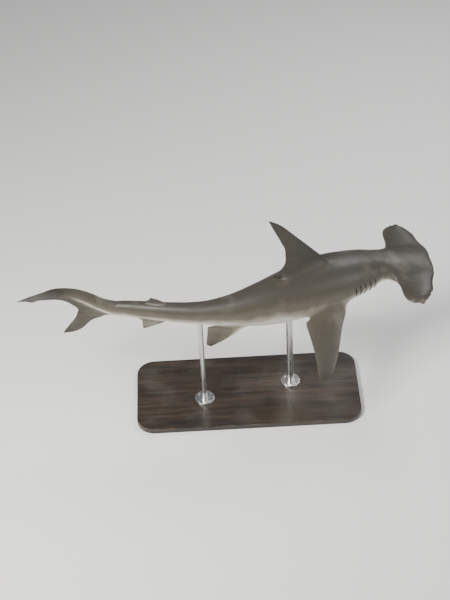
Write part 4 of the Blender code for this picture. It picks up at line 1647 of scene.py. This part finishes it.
# The eye's pattern: reaches are sines of the angle from its axis, and the pupil's edge is in shares of
# its half width and half height
PUPIL = (0.300, 0.400)
PUPIL_EDGE = (1.22, 0.98)
PUPIL_DARK = (0.002, 0.002, 0.003, 1)
IRIS_EDGE = (0.650, 0.720)
IRIS_RIM = (0.012, 0.010, 0.009, 1)
IRIS_TONES = (
    (0.26, (0.260, 0.215, 0.110)),
    (0.48, (0.185, 0.158, 0.092)),
    (0.66, (0.095, 0.085, 0.058)),
    (0.76, (0.045, 0.038, 0.028)),
)
IRIS_THREADS = {"Stretch": (1.0, 1.0, 1.0), "Scale": 13.0}
IRIS_CLOUDS = {"Scale": 7.0, "Low": 0.35, "High": 0.65}
IRIS_SPECKS = {"Scale": 26.0, "Size": 0.30, "Share": 0.35}
SPECK_BROWN = (0.10, 0.085, 0.055, 1)


def make_eye_finish():
    """A gold-grey iris of fine threads round an upright dark pupil, under a wet clear front."""
    shade = {"Coat Weight": 1.0, "Coat Roughness": 0.02, "IOR": 1.38}
    material, tree, shader = new_finish("clear eye", shade)
    gaze = stored(tree, "gaze", "Vector")
    forward, up, _ = parts_of(tree, gaze)
    flat = node(tree, "ShaderNodeCombineXYZ", {"X": forward, "Y": up}).outputs[0]
    reach = vectors(tree, "LENGTH", {0: flat}, "Value")
    threads = use(tree, GRAIN, vectors(tree, "NORMALIZE", {0: flat}), IRIS_THREADS)
    cloudy = use(tree, MOTTLE, gaze, IRIS_CLOUDS)
    deep = total(tree, reach, product(tree, threads, 0.34), product(tree, cloudy, 0.10), -0.20)
    specks = product(tree, use(tree, SPECKLE, gaze, IRIS_SPECKS), 0.45)
    wide = maths(tree, "DIVIDE", forward, PUPIL[0])
    high = maths(tree, "DIVIDE", up, PUPIL[1])
    oval = total(tree, product(tree, wide, wide), product(tree, high, high))
    pupil = band(tree, total(tree, oval, product(tree, threads, 0.12)), *PUPIL_EDGE)
    rim = band(tree, reach, *IRIS_EDGE)
    iris = ramp(tree, deep, IRIS_TONES)
    colour = layered(tree, iris, (specks, SPECK_BROWN), (rim, IRIS_RIM), (pupil, PUPIL_DARK))
    join(tree, colour, shader["Base Color"])
    join(tree, band(tree, pupil, 0.0, 1.0, 0.32, 0.08), shader["Roughness"])
    return material


# The teeth's ivory, and the patterns and colours of the stand
IVORY = (0.80, 0.77, 0.68, 1)
IVORY_OLD = (0.66, 0.60, 0.46, 1)
IVORY_CLOUDS = {"Scale": 240.0, "Low": 0.35, "High": 0.65}
BOARD_FIGURE = {"Stretch": (0.9, 11.0, 11.0), "Scale": 2.6}
BOARD_FIBRES = {"Stretch": (5.0, 190.0, 190.0), "Scale": 2.2}
BOARD_TONES = (
    (0.36, (0.012, 0.0085, 0.006)),
    (0.50, (0.026, 0.018, 0.012)),
    (0.64, (0.050, 0.034, 0.022)),
)
BOARD_WEAR = {"Scale": 22.0, "Low": 0.40, "High": 0.62}
BOARD_WORN = (0.20, 0.14, 0.09, 1)
BOARD_DUST = {"Scale": 5.0, "Low": 0.42, "High": 0.78}
DUST_GREY = (0.45, 0.43, 0.40, 1)
BOARD_SCRATCHES = {"Scale": 16.0, "Width": 0.010, "Rarity": 0.60}
STEEL_BRUSHING = 1500.0
STEEL_TONES = ((0.3, (0.50, 0.50, 0.49)), (0.7, (0.66, 0.655, 0.64)))
STEEL_SMUDGES = {"Scale": 16.0, "Low": 0.42, "High": 0.72}
SMUDGE_GREY = (0.36, 0.35, 0.33, 1)
STEEL_SCRATCHES = {"Scale": 24.0, "Width": 0.012, "Rarity": 0.58}


def make_tooth_finish():
    """Ivory, a little yellower in patches."""
    shade = {"Coat Weight": 0.3, "Coat Roughness": 0.1, "IOR": 1.5}
    material, tree, shader = new_finish("ivory teeth", shade)
    patch = use(tree, MOTTLE, object_place(tree), IVORY_CLOUDS)
    join(tree, blended(tree, patch, IVORY, IVORY_OLD), shader["Base Color"])
    join(tree, band(tree, patch, 0.0, 1.0, 0.16, 0.30), shader["Roughness"])
    return material


def worn_edge(tree, place, top):
    """A patchy mask of the rounded upper rim of a flat piece that ends at this height."""
    z = parts_of(tree, place)["Z"]
    below = band(tree, z, top - 0.0030, top - 0.0012)
    above = band(tree, z, top - 0.0001, top - 0.0006)
    return product(tree, below, above, use(tree, MOTTLE, place, BOARD_WEAR))


def make_board_finish():
    """Dark stained wood under satin lacquer, rubbed paler along its top edge."""
    shade = {"Coat Weight": 0.25, "Coat Roughness": 0.18}
    material, tree, shader = new_finish("dark lacquered wood", shade)
    place = object_place(tree)
    fibres = use(tree, GRAIN, place, BOARD_FIBRES)
    figure = use(tree, GRAIN, place, BOARD_FIGURE)
    mixed = total(tree, product(tree, figure, 0.65), product(tree, fibres, 0.35))
    worn = product(tree, worn_edge(tree, place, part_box("stand_base")[1].z), 0.55)
    dust = use(tree, MOTTLE, place, BOARD_DUST)
    layers = (worn, BOARD_WORN), (product(tree, dust, 0.05), DUST_GREY)
    join(tree, layered(tree, ramp(tree, mixed, BOARD_TONES), *layers), shader["Base Color"])
    fine = use(tree, SCRATCHES, place, BOARD_SCRATCHES)
    marks = product(tree, dust, 0.14), product(tree, fine, 0.15), product(tree, fibres, 0.10)
    join(tree, total(tree, *marks, 0.30), shader["Roughness"])
    height = total(tree, product(tree, fibres, 0.00014), product(tree, fine, -0.00005))
    join(tree, raised(tree, height), shader["Normal"])
    return material


def make_steel_finish(name, middle, turned):
    """Brushed steel round an upright axis: in rings where it's turned, else along its length."""
    material, tree, shader = new_finish(name, {"IOR": 2.6})
    shader["Metallic"].default_value = 1.0
    inputs = {"Vector": object_place(tree), "Location": (-middle[0], -middle[1], 0.0)}
    place = node(tree, "ShaderNodeMapping", inputs).outputs["Vector"]
    x, y, z = parts_of(tree, place)
    flat = node(tree, "ShaderNodeCombineXYZ", {"X": x, "Y": y}).outputs[0]
    radius = vectors(tree, "LENGTH", {0: flat}, "Value")
    rings = node(tree, "ShaderNodeCombineXYZ", {"X": radius, "Y": z}).outputs[0]
    stretch = (1.0, 1.0, 1.0) if turned else (1.0, 1.0, 0.012)
    brushing = {"Stretch": stretch, "Scale": STEEL_BRUSHING}
    brushed = use(tree, GRAIN, rings if turned else place, brushing)
    smudge = use(tree, MOTTLE, place, STEEL_SMUDGES)
    scratch = use(tree, SCRATCHES, place, STEEL_SCRATCHES)
    colour = blended(tree, product(tree, smudge, 0.16), ramp(tree, brushed, STEEL_TONES), SMUDGE_GREY)
    join(tree, colour, shader["Base Color"])
    marks = product(tree, brushed, 0.16), product(tree, smudge, 0.12), product(tree, scratch, 0.12)
    join(tree, total(tree, *marks, 0.18), shader["Roughness"])
    height = total(tree, product(tree, brushed, 0.00005), product(tree, scratch, -0.00003))
    join(tree, raised(tree, height), shader["Normal"])
    return material


# Teeth in metres, and the range of their random sizes. Each row: how far it stands behind the mouth's
# line, how far above the lip, and its teeth's size.
TOOTH_HEIGHT = 0.0062
TOOTH_HALF_WIDTH = 0.0023
TOOTH_TIP = 0.0001
TOOTH_FLATNESS = 0.42
TOOTH_SIDES = 10
TOOTH_SIZES = (0.85, 1.12)
TOOTH_SPACING = 0.0047
TOOTH_ROWS = ((-0.0034, 0.0046, 1.0), (0.0036, 0.0044, 0.85))
TOOTH_LEAN = 0.52
TOOTH_REACH = 0.86
TOOTH_SEED = 7
MOUTH_STEPS = 600


def mouth_row(side, rise, size):
    """Places, growing ways and tangents of one row of teeth in the straight animal, in metres."""
    across = np.linspace(-TOOTH_REACH, TOOTH_REACH, MOUTH_STEPS) * MOUTH_HALF
    share = np.abs(across) / MOUTH_HALF
    front = MOUTH_FRONT + (MOUTH_CORNER - MOUTH_FRONT) * share ** MOUTH_ARCH
    line = np.stack([front, across], axis=1) * LENGTH
    tangent = np.gradient(line, axis=0)
    tangent /= np.linalg.norm(tangent, axis=1)[:, None]
    back = np.stack([tangent[:, 1], -tangent[:, 0]], axis=1)
    run = np.concatenate([[0.0], np.cumsum(np.linalg.norm(np.diff(line, axis=0), axis=1))])
    stops = np.arange(TOOTH_SPACING / 2, run[-1], TOOTH_SPACING)
    pick = np.searchsorted(run, stops)
    closing = np.sqrt(1 - share[pick] ** 2)
    place = line[pick] + back[pick] * (side * closing)[:, None]
    lip = head_surface(place[:, 0] / LENGTH, place[:, 1] / LENGTH, -1.0) * LENGTH
    places = np.column_stack([place, lip + rise * closing])
    lean = -np.sign(side) * TOOTH_LEAN
    ways = np.column_stack([back[pick] * lean, np.full(len(pick), -math.sqrt(1 - TOOTH_LEAN ** 2))])
    tangents = np.column_stack([tangent[pick], np.zeros(len(pick))])
    return places, ways, tangents, size * (0.55 + 0.45 * closing)


def turned_with_body(places, ways):
    """The ways in the swim pose of ways in the straight animal."""
    step = 0.001
    moved = (swim(places + ways * step) - swim(places)) / step
    return moved / np.linalg.norm(moved, axis=1)[:, None]


def guide_mesh(name, places, values):
    """Loose points with attributes, for a tree to grow shapes on."""
    mesh = bpy.data.meshes.new(name)
    mesh.from_pydata([tuple(place) for place in places], [], [])
    for label, (kind, numbers) in values.items():
        store(mesh, label, kind, numbers)
    return mesh


def named(tree, label, kind):
    """A stored value of the guide's points, inside a tree."""
    inputs = {"Name": label}
    return node(tree, "GeometryNodeInputNamedAttribute", inputs, data_type=kind).outputs["Attribute"]


def grown(name, guide, tree, sizes):
    """Runs a tree on a guide with these sizes, and returns the result as a plain object."""
    obj = placed(name, guide)
    change = obj.modifiers.new(name, "NODES")
    change.node_group = tree
    for socket in tree.interface.items_tree:
        if socket.in_out == "INPUT" and socket.name in sizes:
            change[socket.identifier] = sizes[socket.name]
    obj.data = changed_mesh(obj)
    obj.data.name = name
    return obj


def finish_tree(tree, result, instances, material, smooth=True):
    """Ends a tree: its instances made plain mesh, smooth if wanted, with their material."""
    shape = node(tree, "GeometryNodeRealizeInstances", {"Geometry": instances}).outputs[0]
    if smooth:
        inputs = {"Geometry": shape, "Shade Smooth": True}
        shape = node(tree, "GeometryNodeSetShadeSmooth", inputs).outputs[0]
    inputs = {"Geometry": shape, "Material": material}
    join(tree, node(tree, "GeometryNodeSetMaterial", inputs).outputs[0], result["Geometry"])


def lot_between(tree, seed, least, most):
    """A random value for each point."""
    lot = node(tree, "FunctionNodeRandomValue", {"Seed": seed}, data_type="FLOAT")
    lot.inputs[2].default_value = least
    lot.inputs[3].default_value = most
    return lot.outputs[1]


def make_tooth_tree(material):
    """Grows a small flattened cone on each guide point, along its way and flat to the row."""
    tree, given, result = new_group("teeth rows", {
        "Geometry": GEOMETRY, "Height": FLOAT, "Half Width": FLOAT, "Flatness": FLOAT, "Seed": WHOLE,
    }, {"Geometry": GEOMETRY}, "GeometryNodeTree")
    inputs = {"Vertices": TOOTH_SIDES, "Side Segments": 3, "Radius Top": TOOTH_TIP}
    inputs |= {"Radius Bottom": given["Half Width"], "Depth": given["Height"]}
    cone = node(tree, "GeometryNodeMeshCone", inputs).outputs["Mesh"]
    flat = node(tree, "ShaderNodeCombineXYZ", {"X": 1.0, "Y": given["Flatness"], "Z": 1.0}).outputs[0]
    tooth = node(tree, "GeometryNodeTransform", {"Geometry": cone, "Scale": flat}).outputs[0]
    inputs = {"Vector": named(tree, "way", "FLOAT_VECTOR")}
    upright = node(tree, "FunctionNodeAlignRotationToVector", inputs, axis="Z").outputs[0]
    inputs = {"Rotation": upright, "Vector": named(tree, "tangent", "FLOAT_VECTOR")}
    turned = node(tree, "FunctionNodeAlignRotationToVector", inputs, axis="X", pivot_axis="Z").outputs[0]
    lot = lot_between(tree, given["Seed"], *TOOTH_SIZES)
    size = maths(tree, "MULTIPLY", lot, named(tree, "size", "FLOAT"))
    inputs = {"Points": given["Geometry"], "Instance": tooth, "Rotation": turned, "Scale": size}
    teeth = node(tree, "GeometryNodeInstanceOnPoints", inputs).outputs[0]
    finish_tree(tree, result, teeth, material)
    return tree


def make_teeth():
    """Both rows of teeth, grown along the mouth as one piece."""
    rows = [mouth_row(*row) for row in TOOTH_ROWS]
    places, ways, tangents, sizes = (np.concatenate(part) for part in zip(*rows))
    guide = guide_mesh("mouth line", swim(places) + SHIFT, {
        "way": ("FLOAT_VECTOR", turned_with_body(places, ways)),
        "tangent": ("FLOAT_VECTOR", turned_with_body(places, tangents)),
        "size": ("FLOAT", sizes),
    })
    teeth = grown("teeth", guide, make_tooth_tree(make_tooth_finish()), {
        "Height": TOOTH_HEIGHT,
        "Half Width": TOOTH_HALF_WIDTH,
        "Flatness": TOOTH_FLATNESS,
        "Seed": TOOTH_SEED,
    })
    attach(teeth, "root")
    return teeth


# The stand's small parts, in metres: socket screws on each flange, a collar where a rod meets the
# belly at its station, and the turned rims of both
ROD_STATIONS = {"front": 0.345, "rear": 0.545}
SCREW_CIRCLE = 0.0415
SCREW_COUNT = 4
SCREW_RADIUS = 0.0058
SCREW_HEIGHT = 0.0024
SCREW_SIDES = 36
SOCKET_RADIUS = 0.0029
SOCKET_DEPTH = 0.0018
SOCKET_SIDES = 6
SCREW_SEED = 3
COLLAR_WALL = 0.0065
COLLAR_HEIGHT = 0.012
COLLAR_SUNK = 0.004
COLLAR_ROUND = 0.0022
RING_CLEAR = 0.0002
FLANGE_ROUND = 0.0024
FLANGE_HUB_WALL = 0.0075
FLANGE_HUB_RISE = 0.0028
FLANGE_HUB_ROUND = 0.0016
TURNED_STEPS = 96
CORNER_POINTS = 7
SHARP_ANGLE = 40


def make_screw_tree(material):
    """Sets a round screw head with a six-sided socket on each guide point."""
    tree, given, result = new_group("screws", {
        "Geometry": GEOMETRY, "Radius": FLOAT, "Height": FLOAT,
        "Socket Radius": FLOAT, "Socket Depth": FLOAT, "Seed": WHOLE,
    }, {"Geometry": GEOMETRY}, "GeometryNodeTree")
    inputs = {"Vertices": SCREW_SIDES, "Radius": given["Radius"], "Depth": given["Height"]}
    head = node(tree, "GeometryNodeMeshCylinder", inputs).outputs["Mesh"]
    half = maths(tree, "MULTIPLY", given["Height"], 0.5)
    rise = node(tree, "ShaderNodeCombineXYZ", {"Z": half}).outputs[0]
    depth = product(tree, given["Socket Depth"], 2.0)
    inputs = {"Vertices": SOCKET_SIDES, "Radius": given["Socket Radius"], "Depth": depth}
    bore = node(tree, "GeometryNodeMeshCylinder", inputs).outputs["Mesh"]
    sunk = node(tree, "GeometryNodeTransform", {"Geometry": bore, "Translation": rise}).outputs[0]
    inputs = {"Mesh 1": head, "Mesh 2": sunk}
    cut = node(tree, "GeometryNodeMeshBoolean", inputs, operation="DIFFERENCE").outputs[0]
    screw = node(tree, "GeometryNodeTransform", {"Geometry": cut, "Translation": rise}).outputs[0]
    lot = lot_between(tree, given["Seed"], 0.0, 2 * math.pi / SOCKET_SIDES)
    turn = node(tree, "ShaderNodeCombineXYZ", {"Z": lot}).outputs[0]
    inputs = {"Points": given["Geometry"], "Instance": screw, "Rotation": turn}
    screws = node(tree, "GeometryNodeInstanceOnPoints", inputs).outputs[0]
    finish_tree(tree, result, screws, material, smooth=False)
    return tree


def middle_of(name):
    """The middle of a node's box."""
    low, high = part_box(name)
    return (low + high) / 2


def make_screws(material):
    """The socket screws of both flanges, as one piece."""
    places = []
    for word in ROD_STATIONS:
        name = "stand_flange_" + word
        middle = middle_of(name)
        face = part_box(name)[1].z - FLANGE_HUB_RISE
        for k in range(SCREW_COUNT):
            angle = (k + 0.5) * 2 * math.pi / SCREW_COUNT
            x = middle.x + SCREW_CIRCLE * math.cos(angle)
            y = middle.y + SCREW_CIRCLE * math.sin(angle)
            places.append((x, y, face))
    guide = guide_mesh("screw places", places, {})
    screws = grown("flange_screws", guide, make_screw_tree(material), {
        "Radius": SCREW_RADIUS,
        "Height": SCREW_HEIGHT,
        "Socket Radius": SOCKET_RADIUS,
        "Socket Depth": SOCKET_DEPTH,
        "Seed": SCREW_SEED,
    })
    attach(screws, "root")


def rounded_corner(radius, z, bend, first, last):
    """Points of a turned profile's corner, round its middle and between two angles in degrees."""
    angles = np.radians(np.linspace(first, last, CORNER_POINTS))
    return [(radius + bend * math.cos(angle), z + bend * math.sin(angle)) for angle in angles]


def turned_piece(name, node_name, profile, material):
    """A closed ring with this profile, turned about a stand part's upright axis."""
    middle = middle_of(node_name)
    work = bmesh.new()
    turns = np.arange(TURNED_STEPS) * 2 * math.pi / TURNED_STEPS
    rows = []
    for radius, z in profile:
        x, y = middle.x + radius * np.cos(turns), middle.y + radius * np.sin(turns)
        rows.append([work.verts.new((x[k], y[k], z)) for k in range(TURNED_STEPS)])
    for first, second in zip(rows, rows[1:] + rows[:1]):
        for k in range(TURNED_STEPS):
            j = (k + 1) % TURNED_STEPS
            work.faces.new((first[k], first[j], second[j], second[k])).smooth = True
    bmesh.ops.recalc_face_normals(work, faces=work.faces)
    mesh = mesh_of(work, name)
    mesh.set_sharp_from_angle(angle=math.radians(SHARP_ANGLE))
    mesh.materials.append(material)
    piece = placed(name, mesh)
    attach(piece, "root")
    return piece


def rod_radius(word):
    """The radius of the front or the rear rod."""
    low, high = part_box("stand_rod_" + word)
    return (high.x - low.x) / 2


def make_collar(word, material):
    """A ring round the top of a rod, sunk a little into the belly, its lower rim rounded."""
    inner = rod_radius(word) + RING_CLEAR
    outer = inner + COLLAR_WALL
    top = BODY_HEIGHT - body_size(ROD_STATIONS[word])[2] * LENGTH + COLLAR_SUNK
    bottom = top - COLLAR_HEIGHT
    rim = rounded_corner(outer - COLLAR_ROUND, bottom + COLLAR_ROUND, COLLAR_ROUND, -90, 0)
    profile = [(inner, top), (inner, bottom), *rim, (outer, top)]
    turned_piece("collar_" + word, "stand_rod_" + word, profile, material)


def make_flange(word, material):
    """A rod's foot: a flat ring with its upper rim rounded and a raised hub round the rod."""
    name = "stand_flange_" + word
    low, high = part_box(name)
    inner = rod_radius(word) + RING_CLEAR
    outer = (high.x - low.x) / 2
    face = high.z - FLANGE_HUB_RISE
    hub = inner + FLANGE_HUB_WALL
    hub_rim = rounded_corner(hub - FLANGE_HUB_ROUND, high.z - FLANGE_HUB_ROUND, FLANGE_HUB_ROUND, 90, 0)
    rim = rounded_corner(outer - FLANGE_ROUND, face - FLANGE_ROUND, FLANGE_ROUND, 90, 0)
    profile = [(inner, low.z), (inner, high.z), *hub_rim, (hub, face), *rim, (outer, low.z)]
    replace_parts(turned_piece("flange_" + word, name, profile, material), name)


def set_finish(obj, material):
    """Gives every slot of an object this finish."""
    if not obj.material_slots:
        obj.data.materials.append(material)
    for slot in obj.material_slots:
        slot.material = material


def finish_stand():
    """The stand's finishes, and its flanges, collars and screws."""
    set_finish(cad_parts["stand_base"], make_board_finish())
    for word in ROD_STATIONS:
        rod = "stand_rod_" + word
        brushed = make_steel_finish("brushed steel rod " + word, middle_of(rod), False)
        set_finish(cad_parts[rod], brushed)
        turned = make_steel_finish("turned steel " + word, middle_of(rod), True)
        make_flange(word, turned)
        make_collar(word, turned)
    make_screws(turned)


skin.data.materials.append(make_skin_finish())
eye_finish = make_eye_finish()
for ball in eyeballs:
    ball.data.materials.append(eye_finish)
make_teeth()
finish_stand()


# The photograph's view of the model
PICTURE = (450, 600)
TARGET = (-0.4782 * LENGTH, -0.0208, BODY_HEIGHT)
TARGET_PIXEL = (217.1, 272.5)
CAMERA_DISTANCE = 9.0
CAMERA_ELEVATION = 39.2
CAMERA_ROLL = -3.1
PIXELS_PER_METRE = 182.2
SENSOR = 36.0


def make_camera():
    """The photograph's view, with the model where it stands in the picture."""
    elevation, roll = math.radians(CAMERA_ELEVATION), math.radians(CAMERA_ROLL)
    back = Vector((0.0, -math.cos(elevation), math.sin(elevation)))
    right = Vector((1.0, 0.0, 0.0))
    up = back.cross(right)
    turned = right * math.cos(roll) + up * math.sin(roll)
    rise = up * math.cos(roll) - right * math.sin(roll)
    data = bpy.data.cameras.new("camera")
    data.sensor_width = SENSOR
    data.lens = PIXELS_PER_METRE * CAMERA_DISTANCE * SENSOR / max(PICTURE)
    data.shift_x = (PICTURE[0] / 2 - TARGET_PIXEL[0]) / max(PICTURE)
    data.shift_y = (TARGET_PIXEL[1] - PICTURE[1] / 2) / max(PICTURE)
    camera = placed("camera", data)
    place = Vector(TARGET) + Vector(SHIFT) + back * CAMERA_DISTANCE
    turn = Matrix((turned, rise, back)).transposed().to_4x4()
    camera.matrix_world = Matrix.Translation(place) @ turn
    bpy.context.scene.camera = camera


def soft_light(name, place, aim, size, power, colour=(1, 1, 1)):
    """A soft rectangular light that faces a place."""
    data = bpy.data.lights.new(name, "AREA")
    data.shape = "RECTANGLE"
    data.size, data.size_y = size
    data.energy = power
    data.color = colour
    lamp = placed(name, data)
    lamp.location = place
    lamp.rotation_euler = (Vector(aim) - Vector(place)).to_track_quat("-Z", "Y").to_euler()


def make_floor():
    """A wide pale floor, which is no part of the model."""
    bpy.ops.mesh.primitive_plane_add(size=60)
    floor = bpy.context.object
    floor.name = "floor"
    material = bpy.data.materials.new("pale floor")
    material.use_nodes = True
    shader = material.node_tree.nodes["Principled BSDF"]
    shader.inputs["Base Color"].default_value = (0.78, 0.77, 0.75, 1)
    shader.inputs["Roughness"].default_value = 0.8
    floor.data.materials.append(material)


def make_studio():
    """The floor, the view and the light."""
    make_floor()
    make_camera()
    middle = (0.0, 0.0, 0.6)
    soft_light("key light", (-2.4, -2.0, 3.9), middle, (2.0, 1.6), 400, (1.0, 0.985, 0.96))
    soft_light("fill light", (3.6, -1.6, 2.4), middle, (2.4, 2.4), 85, (0.95, 0.97, 1.0))
    soft_light("back light", (2.6, 3.0, 3.8), middle, (2.0, 1.4), 120)
    world = bpy.data.worlds.new("studio")
    bpy.context.scene.world = world
    world.use_nodes = True
    world.node_tree.nodes["Background"].inputs["Color"].default_value = (0.86, 0.90, 0.95, 1)
    world.node_tree.nodes["Background"].inputs["Strength"].default_value = 0.26


make_studio()
